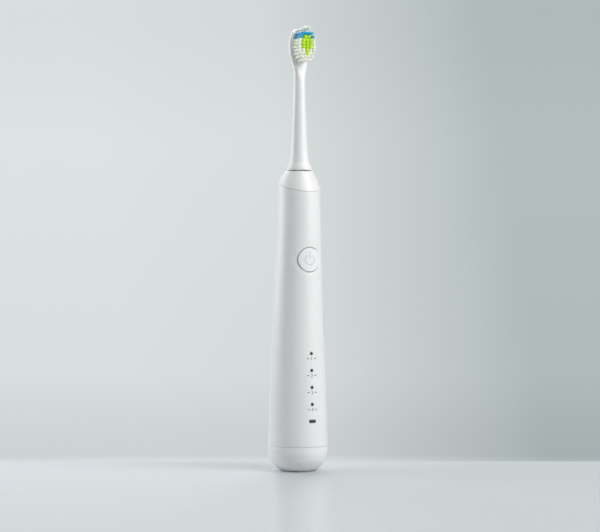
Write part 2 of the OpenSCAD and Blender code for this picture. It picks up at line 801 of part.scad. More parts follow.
module motor_front_plate() color("lightgray") on_shaft() difference() {
    union() {
        translate([0, 0, motor_top_z - motor_plate_t]) cylinder(r = plate_r, h = motor_plate_t);
        translate([0, 0, motor_top_z - eps]) cylinder(r = bearing_boss_r, h = bearing_out);
    }
    translate([0, 0, motor_top_z - bearing_out]) cylinder(r = bearing_r, h = 3 * bearing_out);
}

module motor_rear_plate() color("lightgray") on_shaft() difference() {
    union() {
        translate([0, 0, motor_z]) cylinder(r = plate_r, h = motor_plate_t);
        translate([0, 0, motor_z]) cylinder(r = bearing_boss_r, h = bearing_in);
    }
    translate([0, 0, motor_z + bearing_floor]) cylinder(r = bearing_r, h = 2 * bearing_in);
}

module front_bearing() color("goldenrod") on_shaft()
    tube(bearing_r - slip_gap, shaft_r + running_gap,
         motor_top_z - motor_plate_t, motor_top_z + bearing_out);

module rear_bearing() color("goldenrod") on_shaft()
    tube(bearing_r - slip_gap, shaft_r + running_gap, motor_z + bearing_floor, motor_z + bearing_in);

stator_r = motor_r - motor_wall - running_gap;
yoke_t = 0.85;
pole_x = magnet_r + 0.5;
pole_half_w = 1.5;
stator_mid_z = (rotor_z0 + rotor_z1) / 2;
pole_inset = 3;
yoke_over = 2;
pole_half_h = (rotor_z1 - rotor_z0) / 2 - pole_inset;
bobbin_t = 0.4;
coil_t = 1;
module stator_core() color("dimgray") on_shaft() {
    tube(stator_r, stator_r - yoke_t, stator_mid_z - pole_half_h - yoke_over,
         stator_mid_z + pole_half_h + yoke_over);
    for (side = [-1, 1])
        scale([side, 1, 1])
            block([pole_x, -pole_half_w, stator_mid_z - pole_half_h],
                  [stator_r - yoke_t / 2, pole_half_w, stator_mid_z + pole_half_h]);
}

// A square sleeve round each pole, between two distances from its faces
module pole_sleeve(from, to) on_shaft()
    for (side = [-1, 1])
        scale([side, 1, 1]) difference() {
            block([pole_x + 0.1, -pole_half_w - to, stator_mid_z - pole_half_h - to],
                  [pole_x + 0.1 + coil_t, pole_half_w + to, stator_mid_z + pole_half_h + to]);
            block([pole_x - 1, -pole_half_w - from, stator_mid_z - pole_half_h - from],
                  [pole_x + 3, pole_half_w + from, stator_mid_z + pole_half_h + from]);
        }

module coil_bobbins() color("ivory") pole_sleeve(running_gap, bobbin_t);
module stator_windings() color("chocolate") pole_sleeve(bobbin_t + slip_gap, bobbin_t + 0.95);

module front_damper() color("dimgray") on_shaft()
    tube(motor_r + 0.2, bearing_boss_r + 0.4, motor_top_z, shelf_z);

module rear_damper() color("dimgray") on_shaft()
    tube(motor_r - 0.5, bearing_boss_r - 1, motor_seat_z, motor_z);

// Leads: from the board to the motor's case, and from the board to the charging coil
lead_x = 1.5;
lead_y = board_y - wire_r - running_gap;
motor_lead_y = shaft_y - motor_r - 0.6 - wire_r - seat_gap;
motor_lead_end_y = shaft_y - sqrt(pow(motor_r + wire_r + running_gap, 2) - pow(lead_x, 2));
module motor_leads() color("crimson") for (x = [-lead_x, lead_x])
    wire([[x, lead_y, board_top_z - 1.6], [x, lead_y - 0.15, board_top_z - 0.8],
          [x, motor_lead_y + 0.1, top_plate_z - 0.1], [x, motor_lead_y, top_plate_z + 0.8],
          [x, motor_lead_y, motor_seat_z + 0.2], [x, (motor_lead_y + motor_lead_end_y) / 2, motor_z - 0.6],
          [x, motor_lead_end_y, motor_z + 0.6], [x, motor_lead_end_y, motor_z + 2]]);

coil_lead_x = 2.3;
coil_lead_y = -flange_r - wire_r - seat_gap;
module coil_leads() color("orangered") for (x = [-coil_lead_x, coil_lead_x])
    wire([[x, coil_lead_y, socket_top_z - 4], [x, coil_lead_y, socket_top_z],
          [x, coil_lead_y, ferrite_top_z + 1], [x, lead_y, board_z - 1],
          [x, lead_y, board_z], [x, lead_y, board_z + 1.6]]);

// Charging coil, wound round the socket's wall
module charging_bobbin() color("ivory") difference() {
    union() {
        translate([0, 0, bobbin_z]) cylinder(r = coil_in_r + bobbin_wall, h = socket_top_z - bobbin_z);
        translate([0, 0, bobbin_z]) cylinder(r = flange_r, h = flange_t);
        translate([0, 0, socket_top_z - flange_t]) cylinder(r = flange_r, h = flange_t);
    }
    translate([0, 0, 0]) cylinder(r = coil_in_r, h = socket_top_z + 1);
}

module charging_coil() color("chocolate")
    tube(coil_r, coil_in_r + bobbin_wall + slip_gap, bobbin_z + flange_t, socket_top_z - flange_t);

module charging_ferrite() color("dimgray")
    translate([0, 0, socket_top_z]) cylinder(r = flange_r, h = ferrite_t);

module ferrite_cushion() color("darkgray")
    translate([0, 0, ferrite_top_z]) cylinder(r = flange_r - 0.8, h = cushion_t);

// Bottom cap: rounded shell, charger socket, spigot, seal groove and two snaps
function corner_point(r, a) = [foot_r - corner_r + r * cos(a), corner_z + r * sin(a)];
corner_steps = 12;
foot_angle = -asin(corner_z / corner_r);
cavity_angle = -acos((spigot_in_r - foot_r + corner_r) / inner_corner_r);
cap_seal_floor_r = cap_seal_ring_r - cap_seal_r - slip_gap;
module bottom_cap() color("white") {
    rotate_extrude() polygon(concat(
        [[socket_r + socket_lead, 0]],
        [for (i = [0 : corner_steps]) corner_point(corner_r, foot_angle * (1 - i / corner_steps))],
        [[foot_r, cap_h], [spigot_r, cap_h], [spigot_r, cap_seal_z - cap_seal_r - seat_gap],
         [cap_seal_floor_r, cap_seal_z - cap_seal_r - seat_gap],
         [cap_seal_floor_r, cap_seal_z + cap_seal_r + seat_gap],
         [spigot_r, cap_seal_z + cap_seal_r + seat_gap], [spigot_r, spigot_top_z - 0.4],
         [spigot_r - 0.4, spigot_top_z], [spigot_in_r, spigot_top_z]],
        [for (i = [0 : corner_steps])
            corner_point(inner_corner_r,
                cavity_angle + (inner_foot_angle - cavity_angle) * i / corner_steps)],
        [[socket_r + socket_wall, cap_floor_z], [socket_r + socket_wall, socket_top_z],
         [0, socket_top_z], [0, socket_depth], [socket_r, socket_depth], [socket_r, socket_lead]]
    ));
    for (side = [0, 180])
        rotate([0, 0, side - snap_angle / 2])
            rotate_extrude(angle = snap_angle)
                polygon([[spigot_r - 0.3, snap_z - snap_h - 0.1], [spigot_r + snap_h, snap_z],
                         [spigot_r - 0.3, snap_z + snap_h + 0.1]]);
}

module cap_seal() color("dimgray")
    rotate_extrude() translate([cap_seal_ring_r, cap_seal_z]) circle(r = cap_seal_r);

head_shell();
head_base_ring();
drive_socket();
socket_clip();
bristles_blue();
bristles_green();
bristles_white();
tuft_anchors();
drive_shaft();
rotor_core();
rotor_magnets();
shaft_clip();
body_shell();
top_collar();
collar_seal();
shaft_seal();
button_cap();
button_membrane();
mode_lens(0);  // mode_lens_1
mode_lens(1);  // mode_lens_2
mode_lens(2);  // mode_lens_3
mode_lens(3);  // mode_lens_4
battery_lens();
light_block();
circuit_board();
switch_body();
switch_plunger();
indicator_leds();
controller_chip();
board_parts();
board_screws();
chassis();
battery_cell();
battery_pad();
battery_tab_top();
battery_tab_bottom();
motor_case();
motor_front_plate();
motor_rear_plate();
stator_core();
coil_bobbins();
stator_windings();
front_bearing();
rear_bearing();
front_damper();
rear_damper();
motor_leads();
charging_bobbin();
charging_coil();
charging_ferrite();
coil_leads();
ferrite_cushion();
bottom_cap();
cap_seal();
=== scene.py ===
# %% [markdown]
# # An electric toothbrush
#
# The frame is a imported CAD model: a handle full of working parts, and a brush head that pulls
# off its shaft. This lesson dresses it. The parts that show get smoother meshes with real
# edges, a dished seat and separate bristles, and everything gets a finish of its own. The CAD
# parts stay where they are. The places below are read off their boxes, and only what a box
# can't show, such as a wall or a fillet, is typed in.

# %% Load the frame
import json
import math
import random

import bmesh
import bpy
from mathutils import Matrix, Vector


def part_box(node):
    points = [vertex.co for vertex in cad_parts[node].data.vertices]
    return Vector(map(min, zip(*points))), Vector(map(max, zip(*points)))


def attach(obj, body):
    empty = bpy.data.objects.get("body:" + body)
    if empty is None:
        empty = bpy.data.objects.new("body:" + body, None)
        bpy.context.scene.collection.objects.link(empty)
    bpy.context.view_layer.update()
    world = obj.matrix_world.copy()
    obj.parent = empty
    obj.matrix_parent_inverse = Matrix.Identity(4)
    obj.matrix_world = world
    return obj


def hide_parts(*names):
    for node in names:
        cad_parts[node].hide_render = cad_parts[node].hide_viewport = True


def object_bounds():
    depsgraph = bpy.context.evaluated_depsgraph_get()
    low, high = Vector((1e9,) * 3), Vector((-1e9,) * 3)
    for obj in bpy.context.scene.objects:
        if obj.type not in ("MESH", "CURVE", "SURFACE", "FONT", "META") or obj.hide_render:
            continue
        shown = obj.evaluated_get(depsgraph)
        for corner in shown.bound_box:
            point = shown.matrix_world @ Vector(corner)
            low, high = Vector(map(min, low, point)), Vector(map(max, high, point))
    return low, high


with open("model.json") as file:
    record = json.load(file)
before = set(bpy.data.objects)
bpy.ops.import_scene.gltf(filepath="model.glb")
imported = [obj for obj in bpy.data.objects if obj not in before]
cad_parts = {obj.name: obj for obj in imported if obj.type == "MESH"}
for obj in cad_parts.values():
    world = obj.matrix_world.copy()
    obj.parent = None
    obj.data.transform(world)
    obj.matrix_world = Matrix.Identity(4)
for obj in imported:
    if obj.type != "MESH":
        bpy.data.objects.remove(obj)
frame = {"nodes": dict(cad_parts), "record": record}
cad_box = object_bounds()
MM = 0.001

# %% [markdown]
# ## The camera
#
# The brush is seen level and a little from its left. A short lens from near by would show it
# too, but then the head would shrink and the foot would swell. A long lens from about a metre
# away keeps the sides almost parallel. Blender takes lens and sensor in millimetres, and every
# other length here is in metres.


# %% Camera
def placed(name, data):
    """A new object that holds the data, put into the scene."""
    thing = bpy.data.objects.new(name, data)
    bpy.context.scene.collection.objects.link(thing)
    return thing


SHAFT_LOW, SHAFT_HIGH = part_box("drive_shaft")
SHAFT_Y = (SHAFT_LOW.y + SHAFT_HIGH.y) / 2
CAMERA_TURN = math.radians(-30)
CAMERA_HEIGHT = 110.4 * MM
CAMERA_DISTANCE = 0.98
AIM_SHIFT = 0.38 * MM
LENS_LENGTH = 108.8
SENSOR_WIDTH = 36

toward_camera = Vector((math.sin(CAMERA_TURN), -math.cos(CAMERA_TURN), 0))
camera_right = Vector((-toward_camera.y, toward_camera.x, 0))
aim = Vector((0, SHAFT_Y, CAMERA_HEIGHT)) + AIM_SHIFT * camera_right

camera_data = bpy.data.cameras.new("camera")
camera_data.lens = LENS_LENGTH
camera_data.sensor_width = SENSOR_WIDTH
camera = placed("camera", camera_data)
camera.location = aim + CAMERA_DISTANCE * toward_camera
camera.rotation_euler = (math.pi / 2, 0, CAMERA_TURN)
bpy.context.scene.camera = camera
bpy.context.scene.view_settings.view_transform = "Standard"
print("camera at", [round(v, 3) for v in camera.location])

# %% [markdown]
# ## What a finish is
#
# A finish is a small tree of nodes. Real plastic, metal and rubber are never one even colour:
# the tone drifts a little over centimetres, and the gloss and the surface vary over tenths of a
# millimetre. Each finish could have a tree of its own, but they differ only in their numbers.
# So one helper builds the tree, with its noise on Object coordinates in metres, and each finish
# gives it a colour, a gloss and a grain.

# %% A finish with a slow drift of tone and a fine grain
DRIFT_SCALE = 70
DRIFT_FROM = 0.35
DRIFT_TO = 0.65
GRAIN_HEIGHT = 0.1 * MM


def finish(name, colour, roughness, drift=0.02, grain=2500, bump=0.02, metallic=0.0,
           gloss_drift=0.05, stretch=(1, 1, 1), **sockets):
    """A material whose tone drifts slowly and whose gloss and surface have a fine grain."""
    material = bpy.data.materials.new(name)
    material.use_nodes = True
    tree = material.node_tree
    shader = tree.nodes["Principled BSDF"]
    place = tree.nodes.new("ShaderNodeTexCoord")
    mapping = tree.nodes.new("ShaderNodeMapping")
    mapping.inputs["Scale"].default_value = stretch
    tree.links.new(place.outputs["Object"], mapping.inputs["Vector"])

    slow = tree.nodes.new("ShaderNodeTexNoise")
    slow.inputs["Scale"].default_value = DRIFT_SCALE
    slow.inputs["Detail"].default_value = 3
    tree.links.new(place.outputs["Object"], slow.inputs["Vector"])
    tone = tree.nodes.new("ShaderNodeValToRGB")
    for element, share in zip(tone.color_ramp.elements, (1 - drift, min(1, 1 + drift))):
        element.color = [min(1, share * part) for part in colour] + [1]
    tone.color_ramp.elements[0].position = DRIFT_FROM
    tone.color_ramp.elements[1].position = DRIFT_TO
    tree.links.new(slow.outputs["Fac"], tone.inputs["Fac"])
    tree.links.new(tone.outputs["Color"], shader.inputs["Base Color"])

    fine = tree.nodes.new("ShaderNodeTexNoise")
    fine.inputs["Scale"].default_value = grain
    fine.inputs["Detail"].default_value = 2
    tree.links.new(mapping.outputs["Vector"], fine.inputs["Vector"])
    gloss = tree.nodes.new("ShaderNodeMapRange")
    gloss.inputs["To Min"].default_value = max(0, roughness - gloss_drift)
    gloss.inputs["To Max"].default_value = min(1, roughness + gloss_drift)
    tree.links.new(fine.outputs["Fac"], gloss.inputs["Value"])
    tree.links.new(gloss.outputs["Result"], shader.inputs["Roughness"])
    relief = tree.nodes.new("ShaderNodeBump")
    relief.inputs["Strength"].default_value = bump
    relief.inputs["Distance"].default_value = GRAIN_HEIGHT
    tree.links.new(fine.outputs["Fac"], relief.inputs["Height"])
    tree.links.new(relief.outputs["Normal"], shader.inputs["Normal"])

    shader.inputs["Metallic"].default_value = metallic
    for socket, value in sockets.items():
        shader.inputs[socket.replace("_", " ")].default_value = value
    return material


# %% [markdown]
# ## The table and the wall behind it
#
# The table is a pale, slightly glossy slab that ends a few centimetres behind the foot, so the
# brush stands against the wall and shows faintly in the table's top. The wall could be a large
# plane, but then it would have to be lit as well. Here the world itself is the wall: it looks
# pale to the camera and in reflections, while it lights the brush only softly.


# %% Table
def mesh_of(name, bm):
    """The mesh that a bmesh has built. The bmesh isn't needed after that, and is freed."""
    mesh = bpy.data.meshes.new(name)
    bm.to_mesh(mesh)
    bm.free()
    return mesh


TABLE_BEHIND = 45 * MM
TABLE_AHEAD = 0.62
TABLE_HALF_WIDTH = 0.7
TABLE_THICK = 0.03
TABLE_EDGE = 1.5 * MM

table_bm = bmesh.new()
bmesh.ops.create_cube(table_bm, size=1)
bmesh.ops.scale(table_bm, verts=table_bm.verts,
                vec=(2 * TABLE_HALF_WIDTH, TABLE_BEHIND + TABLE_AHEAD, TABLE_THICK))
bmesh.ops.bevel(table_bm, geom=table_bm.edges[:], offset=TABLE_EDGE, offset_type="OFFSET",
                segments=3, profile=0.5, affect="EDGES", material=-1)
bmesh.ops.translate(table_bm, verts=table_bm.verts,
                    vec=(0, (TABLE_BEHIND - TABLE_AHEAD) / 2, -TABLE_THICK / 2))
bmesh.ops.rotate(table_bm, verts=table_bm.verts, cent=(0, 0, 0),
                 matrix=Matrix.Rotation(CAMERA_TURN, 3, "Z"))
table = placed("table", mesh_of("table", table_bm))
table.data.materials.append(finish("table_gloss", (0.61, 0.645, 0.665), 0.24, drift=0.01,
                                   grain=600, bump=0.0, gloss_drift=0.02))
print("table", [round(v, 3) for v in table.dimensions])

# %% [markdown]
# The wall isn't even. It fades towards the right, and it is a little dimmer at its top and just
# above the table. Both come from the direction that it is seen in: a ramp across gives its
# colour, and a ramp upwards gives its strength. The Light Path node then picks the wall for
# the camera and for reflections, and a weak even light for everything else.

# %% The wall's colour and strength
FADE_FROM = -0.10
FADE_TO = 0.12
FADE_RISE = 0.15
CLIMB_FROM = -0.12
CLIMB_TO = 0.13
WALL_TONES = [(0.0, (0.71, 0.755, 0.76)), (0.45, (0.68, 0.715, 0.72)), (1.0, (0.45, 0.505, 0.51))]
WALL_LEVELS = [(0.0, 1.0), (0.052, 1.0), (0.066, 0.86), (0.12, 0.88), (0.24, 0.97), (0.75, 1.02),
               (1.0, 0.97)]

world = bpy.data.worlds.new("backdrop")
world.use_nodes = True
bpy.context.scene.world = world
sky = world.node_tree
heading = sky.nodes.new("ShaderNodeTexCoord")


def ramp(value, low, high, stops):
    """Colours (position, colour) laid over a socket's values from low to high."""
    share = sky.nodes.new("ShaderNodeMapRange")
    share.inputs["From Min"].default_value = low
    share.inputs["From Max"].default_value = high
    sky.links.new(value, share.inputs["Value"])
    colours = sky.nodes.new("ShaderNodeValToRGB")
    while len(colours.color_ramp.elements) < len(stops):
        colours.color_ramp.elements.new(1.0)
    for stop, (position, colour) in zip(colours.color_ramp.elements, stops):
        stop.position = position
        stop.color = (*colour, 1)
    sky.links.new(share.outputs["Result"], colours.inputs["Fac"])
    return colours.outputs["Color"]


rightward = sky.nodes.new("ShaderNodeVectorMath")
rightward.operation = "DOT_PRODUCT"
rightward.inputs[1].default_value = camera_right + Vector((0, 0, FADE_RISE))
sky.links.new(heading.outputs["Generated"], rightward.inputs[0])
split = sky.nodes.new("ShaderNodeSeparateXYZ")
sky.links.new(heading.outputs["Generated"], split.inputs["Vector"])

seen = sky.nodes.new("ShaderNodeBackground")
sky.links.new(ramp(rightward.outputs["Value"], FADE_FROM, FADE_TO, WALL_TONES),
              seen.inputs["Color"])
sky.links.new(ramp(split.outputs["Z"], CLIMB_FROM, CLIMB_TO,
                   [(position, (level,) * 3) for position, level in WALL_LEVELS]),
              seen.inputs["Strength"])
print("wall:", len(WALL_TONES), "tones across,", len(WALL_LEVELS), "levels upwards")

# %% What sees the wall, and what gets the weak light
soft_light = sky.nodes["Background"]
soft_light.inputs["Color"].default_value = (0.93, 0.96, 1.0, 1)
soft_light.inputs["Strength"].default_value = 0.1
rays = sky.nodes.new("ShaderNodeLightPath")


def either(first, second):
    """The larger of two sockets, which is 1 when either of them is."""
    larger = sky.nodes.new("ShaderNodeMath")
    larger.operation = "MAXIMUM"
    sky.links.new(first, larger.inputs[0])
    sky.links.new(second, larger.inputs[1])
    return larger.outputs["Value"]


mirrored = either(rays.outputs["Is Glossy Ray"], rays.outputs["Is Transmission Ray"])
choose = sky.nodes.new("ShaderNodeMixShader")
sky.links.new(either(rays.outputs["Is Camera Ray"], mirrored), choose.inputs["Fac"])
sky.links.new(soft_light.outputs["Background"], choose.inputs[1])
sky.links.new(seen.outputs["Background"], choose.inputs[2])
sky.links.new(choose.outputs["Shader"], sky.nodes["World Output"].inputs["Surface"])
print("weak light", round(soft_light.inputs["Strength"].default_value, 3))

# %% [markdown]
# ## Soft boxes
#
# Four large lamps do what a small studio does. One sun would be simpler, but a white handle
# under one lamp is burnt out on one side and grey on the other. One lamp stands on the right
# and one high in front, so that the right of the brush is nearly white at its top and a little
# darker at its foot. A third on the left draws a light band down the left edge, and one behind
# lights the table. Between them the handle falls to a soft grey, which shows its roundness.

# %% Lamps
LAMP_AIM = Vector((0, 0, 0.13))
WARM = (1, 0.99, 0.985)


def soft_box(name, right, ahead, height, width, tall, watts, colour):
    """A bright rectangle, so far to the right and ahead of the foot, turned to the brush."""
    lamp = bpy.data.lights.new(name, "AREA")
    lamp.shape = "RECTANGLE"
    lamp.size = width
    lamp.size_y = tall
    lamp.energy = watts
    lamp.color = colour
    box = placed(name, lamp)
    box.location = right * camera_right + ahead * toward_camera + Vector((0, 0, height))
    box.rotation_euler = (LAMP_AIM - box.location).to_track_quat("-Z", "Y").to_euler()


soft_box("side_box", 0.70, 0.32, 0.48, 0.50, 0.6, 4.0, WARM)
soft_box("high_box", 0.40, 0.40, 0.70, 0.60, 0.4, 2.75, WARM)
soft_box("edge_box", -0.58, -0.14, 0.33, 0.60, 0.5, 3.05, (0.98, 0.98, 1))
soft_box("back_box", -0.10, -0.60, 0.60, 0.70, 0.3, 3.2, (0.96, 1, 1))
print("lamps:", [lamp.name for lamp in bpy.data.lights])

# %% [markdown]
# ## The finishes
#
# The handle is a hard white plastic with a satin skin, and so is the ring of the brush head.
# The neck is a slightly softer, whiter plastic that lets a little light in. Nylon bristles do
# the same, more so. A plain white would look like chalk on all of them, so each gets its own
# gloss and its own share of light under the skin. The bristles also get a faint painted glow,
# an emission that stands in for the light that scatters on among their filaments.

# %% Finishes that show
finishes_before = len(bpy.data.materials)


def depth_of_light(weight, distance):
    """Sockets that let a share of the light into the plastic, as deep as a distance."""
    return {"Subsurface_Weight": weight, "Subsurface_Scale": 1.0,
            "Subsurface_Radius": [distance] * 3}


SHELL_WHITE = finish("shell_white", (0.87, 0.87, 0.87), 0.34, drift=0.008, grain=3000, bump=0.03,
                     gloss_drift=0.04, **depth_of_light(0.05, 0.5 * MM))
BUTTON_WHITE = finish("button_white", (0.87, 0.875, 0.88), 0.42, drift=0.008, grain=4200, bump=0.04)
NECK_WHITE = finish("neck_white", (0.875, 0.878, 0.875), 0.34, drift=0.01, grain=2200, bump=0.02,
                    gloss_drift=0.03, **depth_of_light(0.2, 1 * MM))


def nylon(name, colour, glow_colour, glow):
    """Clear nylon with a painted glow: a faint emission stands for the light that wanders on among
    the filaments.
    """
    return finish(name, colour, 0.31, drift=0.06, grain=9000, bump=0.0,
                  Emission_Color=(*glow_colour, 1), Emission_Strength=glow,
                  **depth_of_light(0.8, 1.2 * MM))


# Painted glow: each nylon emits a little light of its own tint, in place of light scattered among
# the filaments.
NYLON_WHITE = nylon("nylon_white", (0.97, 0.98, 0.91), (0.95, 0.98, 0.82), 0.08)
NYLON_BLUE = nylon("nylon_blue", (0.01, 0.50, 0.90), (0, 0.42, 0.80), 0.04)
NYLON_GREEN = nylon("nylon_green", (0.72, 0.97, 0.03), (0.62, 0.97, 0), 0.07)
MARK_GREY = finish("mark_grey", (0.60, 0.61, 0.62), 0.5, drift=0.03, bump=0.01)
PRINT_GREY = finish("print_grey", (0.16, 0.165, 0.17), 0.6, drift=0.05, bump=0.02)
LENS_DARK = finish("lens_dark", (0.035, 0.037, 0.04), 0.18, drift=0.1, bump=0.0, Coat_Weight=0.4)
SILICONE = finish("silicone", (0.80, 0.81, 0.80), 0.55, drift=0.02, grain=1500, bump=0.08,
                  **depth_of_light(0.1, 0.8 * MM))
print("finishes that show:", len(bpy.data.materials) - finishes_before)

# %% [markdown]
# The parts inside keep their CAD meshes, and each gets the finish of what it is: drawn steel,
# sintered bronze, rubber, enamelled copper, a circuit board's lacquer. They could be dressed
# one by one, but the record already names a slot for each part. So one table gives each slot
# its finish. A CAD mesh is never changed here, only what its material slots hold.

# %% Wound copper and a lacquered board
WIRES = 900
WIRE_HEIGHT = 0.8
BOARD_PATHS = 420


def wound_copper(name):
    """Enamelled wire laid side by side: bands of light and shade one wire apart."""
    material = finish(name, (0.62, 0.24, 0.09), 0.32, drift=0.12, bump=0.05, metallic=1.0)
    tree = material.node_tree
    turns = tree.nodes.new("ShaderNodeTexWave")
    turns.bands_direction = "Z"
    turns.inputs["Scale"].default_value = WIRES
    turns.inputs["Distortion"].default_value = 0.4
    place = next(n for n in tree.nodes if n.type == "TEX_COORD")
    relief = next(n for n in tree.nodes if n.type == "BUMP")
    tree.links.new(place.outputs["Object"], turns.inputs["Vector"])
    tree.links.new(turns.outputs["Fac"], relief.inputs["Height"])
    relief.inputs["Strength"].default_value = WIRE_HEIGHT
    return material


def lacquered_board(name):
    """Green lacquer with the paths of copper showing a little lighter under it."""
    material = finish(name, (0.015, 0.16, 0.06), 0.30, drift=0.1, bump=0.03)
    tree = material.node_tree
    paths = tree.nodes.new("ShaderNodeTexBrick")
    paths.inputs["Scale"].default_value = BOARD_PATHS
    paths.inputs["Mortar Size"].default_value = 0.05
    paths.inputs["Color1"].default_value = (0.012, 0.13, 0.05, 1)
    paths.inputs["Color2"].default_value = (0.018, 0.18, 0.07, 1)
    paths.inputs["Mortar"].default_value = (0.05, 0.30, 0.11, 1)
    place = next(n for n in tree.nodes if n.type == "TEX_COORD")
    turn = tree.nodes.new("ShaderNodeMapping")
    turn.inputs["Rotation"].default_value = (math.pi / 2, 0, 0)
    shader = tree.nodes["Principled BSDF"]
    tree.links.new(place.outputs["Object"], turn.inputs["Vector"])
    tree.links.new(turn.outputs["Vector"], paths.inputs["Vector"])
    tree.links.new(paths.outputs["Color"], shader.inputs["Base Color"])
    return material


# %% The table of slots
SLOT_FINISHES = {
    "shell_white": SHELL_WHITE,
    "button_white": BUTTON_WHITE,
    "neck_white": NECK_WHITE,
    "nylon_white": NYLON_WHITE,
    "nylon_blue": NYLON_BLUE,
    "nylon_green": NYLON_GREEN,
    "lens_grey": LENS_DARK,
    "lens_dark": LENS_DARK,
    "silicone_white": SILICONE,
    "socket_plastic": finish("socket_plastic", (0.74, 0.75, 0.76), 0.42, grain=1800, bump=0.05),
    "anchor_brass": finish("anchor_brass", (0.78, 0.57, 0.26), 0.28, drift=0.08, metallic=1.0),
    "bearing_bronze": finish("bearing_bronze", (0.60, 0.41, 0.20), 0.45, drift=0.12, grain=5000,
                             bump=0.25, metallic=1.0),
    "copper_wire": wound_copper("wound_copper"),
    "steel": finish("drawn_steel", (0.62, 0.63, 0.64), 0.22, drift=0.05, grain=1500, bump=0.08,
                    metallic=1.0, stretch=(1, 1, 0.05)),
    "iron_core": finish("stacked_iron", (0.20, 0.20, 0.21), 0.5, drift=0.1, grain=3000, bump=0.3,
                        metallic=0.8, stretch=(0.02, 0.02, 1)),
    "nickel_strip": finish("nickel_strip", (0.70, 0.68, 0.63), 0.25, drift=0.06, grain=2000,
                           bump=0.05, metallic=1.0, stretch=(0.1, 1, 1)),
    "cell_sleeve": finish("cell_sleeve", (0.05, 0.22, 0.42), 0.28, drift=0.05, grain=400,
                          bump=0.06),
    "ferrite_black": finish("ferrite", (0.05, 0.05, 0.052), 0.6, drift=0.2, grain=6000, bump=0.35),
    "seal_rubber": finish("seal_rubber", (0.03, 0.03, 0.032), 0.6, drift=0.15, grain=2500,
                          bump=0.2),
    "foam_grey": finish("foam", (0.25, 0.25, 0.26), 0.85, drift=0.2, grain=3200, bump=0.9),
    "frame_plastic": finish("frame_plastic", (0.72, 0.73, 0.72), 0.5, drift=0.02, bump=0.06),
    "light_black": finish("light_block_black", (0.02, 0.02, 0.021), 0.45, drift=0.2, bump=0.1),
    "board_green": lacquered_board("lacquered_board"),
    "part_tan": finish("ceramic_tan", (0.50, 0.36, 0.22), 0.4, drift=0.15, grain=4000, bump=0.1),
    "led_cream": finish("led_cream", (0.80, 0.76, 0.55), 0.3, drift=0.08, bump=0.05),
    "lead_red": finish("lead_red", (0.55, 0.03, 0.03), 0.4, drift=0.08, grain=1200, bump=0.08),
    "lead_orange": finish("lead_orange", (0.75, 0.25, 0.03), 0.4, drift=0.08, grain=1200,
                          bump=0.08),
}

# %% Each part in its slot's finish
for part in frame["record"]["subparts"]:
    node = frame["nodes"][part["node"]]
    dressed = SLOT_FINISHES[part["material_slot"]]
    if not node.material_slots:
        node.data.materials.append(dressed)
    for holder in node.material_slots:
        holder.material = dressed

# %% [markdown]
# ## The surface of the handle
#
# The handle is round at every height, but its radius swells towards the foot and its middle
# drifts back, so that the front stays nearly straight. It could be smoothed from a few rings,
# but then nothing would say where its skin lies between them. The formulas below are those of
# the CAD shell, with their main sizes read off the frame. Everything on the handle, from the
# button's dish to the printed marks, is laid on this one surface, which is why it all fits.

# %% Sizes of the handle
CAP_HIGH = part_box("bottom_cap")[1]
SHELL_LOW, SHELL_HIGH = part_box("body_shell")
COLLAR_LOW, COLLAR_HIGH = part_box("top_collar")
SEAM_GAP = 0.2 * MM
WALL = 1.8 * MM
COLLAR_DROP = 7.8 * MM
CAP_STRAIGHT = 0.6 * MM
TILT_ZONE = 35 * MM
SWELL = 0.25
BACK_BY = 0.6
FOOT_R = CAP_HIGH.x
WAIST_R = COLLAR_HIGH.x
HANDLE_TOP = COLLAR_HIGH.z
CAP_TOP = SHELL_LOW.z - SEAM_GAP
SEAM_Z = HANDLE_TOP - COLLAR_DROP
SEAM_SLOPE = (SHELL_HIGH.z - SEAM_Z) / WAIST_R
TAPER_TOP = SEAM_Z - SEAM_SLOPE * WAIST_R
TAPER_FOOT = CAP_TOP + CAP_STRAIGHT
TILT_START = SEAM_Z - TILT_ZONE
print(f"foot {FOOT_R / MM:.2f} mm, waist {WAIST_R / MM:.2f} mm, seam at {SEAM_Z / MM:.1f} mm")


# %% The surface itself
def ease(t):
    """A soft step from 0 to 1."""
    t = min(1, max(0, t))
    return t * t * (3 - 2 * t)


def taper_at(z):
    """0 above the taper, and 1 at the foot."""
    return max(0, (TAPER_TOP - z) / (TAPER_TOP - TAPER_FOOT))


def handle_radius(z):
    t = taper_at(z)
    return WAIST_R + (FOOT_R - WAIST_R) * (t - SWELL * math.sin(math.tau * t) / math.tau)


def middle_y(z):
    """The handle's middle: under the shaft at the top, and over the foot's middle below."""
    return SHAFT_Y * (1 - ease(taper_at(z) / BACK_BY))


def round_point(turn, level, depth=0.0):
    """A point at an angle round the handle. Near the top a level leans down towards the front."""
    lean = ease((level - TILT_START) / (SEAM_Z - TILT_START)) * SEAM_SLOPE
    z = level + lean * (WAIST_R - depth) * math.sin(turn)
    r = handle_radius(z) - depth
    return Vector((r * math.cos(turn), middle_y(z) + r * math.sin(turn), z))


def front_point(x, z, depth=0.0):
    """The point of the handle's front that lies straight behind (x, z) on a flat drawing."""
    r = handle_radius(z) - depth
    return Vector((x, middle_y(z) - math.sqrt(max(0, r * r - x * x)), z))


print(f"radius halfway up {handle_radius(HANDLE_TOP / 2) / MM:.2f} mm")

# %% [markdown]
# ## Working with rings
#
# Most of these pieces are rings of points, one above the other. A flat grid from `create_grid`
# already has the right faces: each of its points only has to be put in its place, and where the
# grid closes on itself the doubles are merged. Pieces that are round all the way, such as the
# cap and the ring of the brush head, are quicker still: their profile is spun round the axis.


# %% Grids and profiles
def mapped_grid(bm, columns, rows, place):
    """Adds a grid of that many faces each way, with every point where place(column, row) says."""
    points = bmesh.ops.create_grid(bm, x_segments=columns, y_segments=rows, size=1)["verts"]
    for point in points:
        column = round((point.co.x + 1) / 2 * columns)
        row = round((point.co.y + 1) / 2 * rows)
        point.co = place(column, row)
    return points


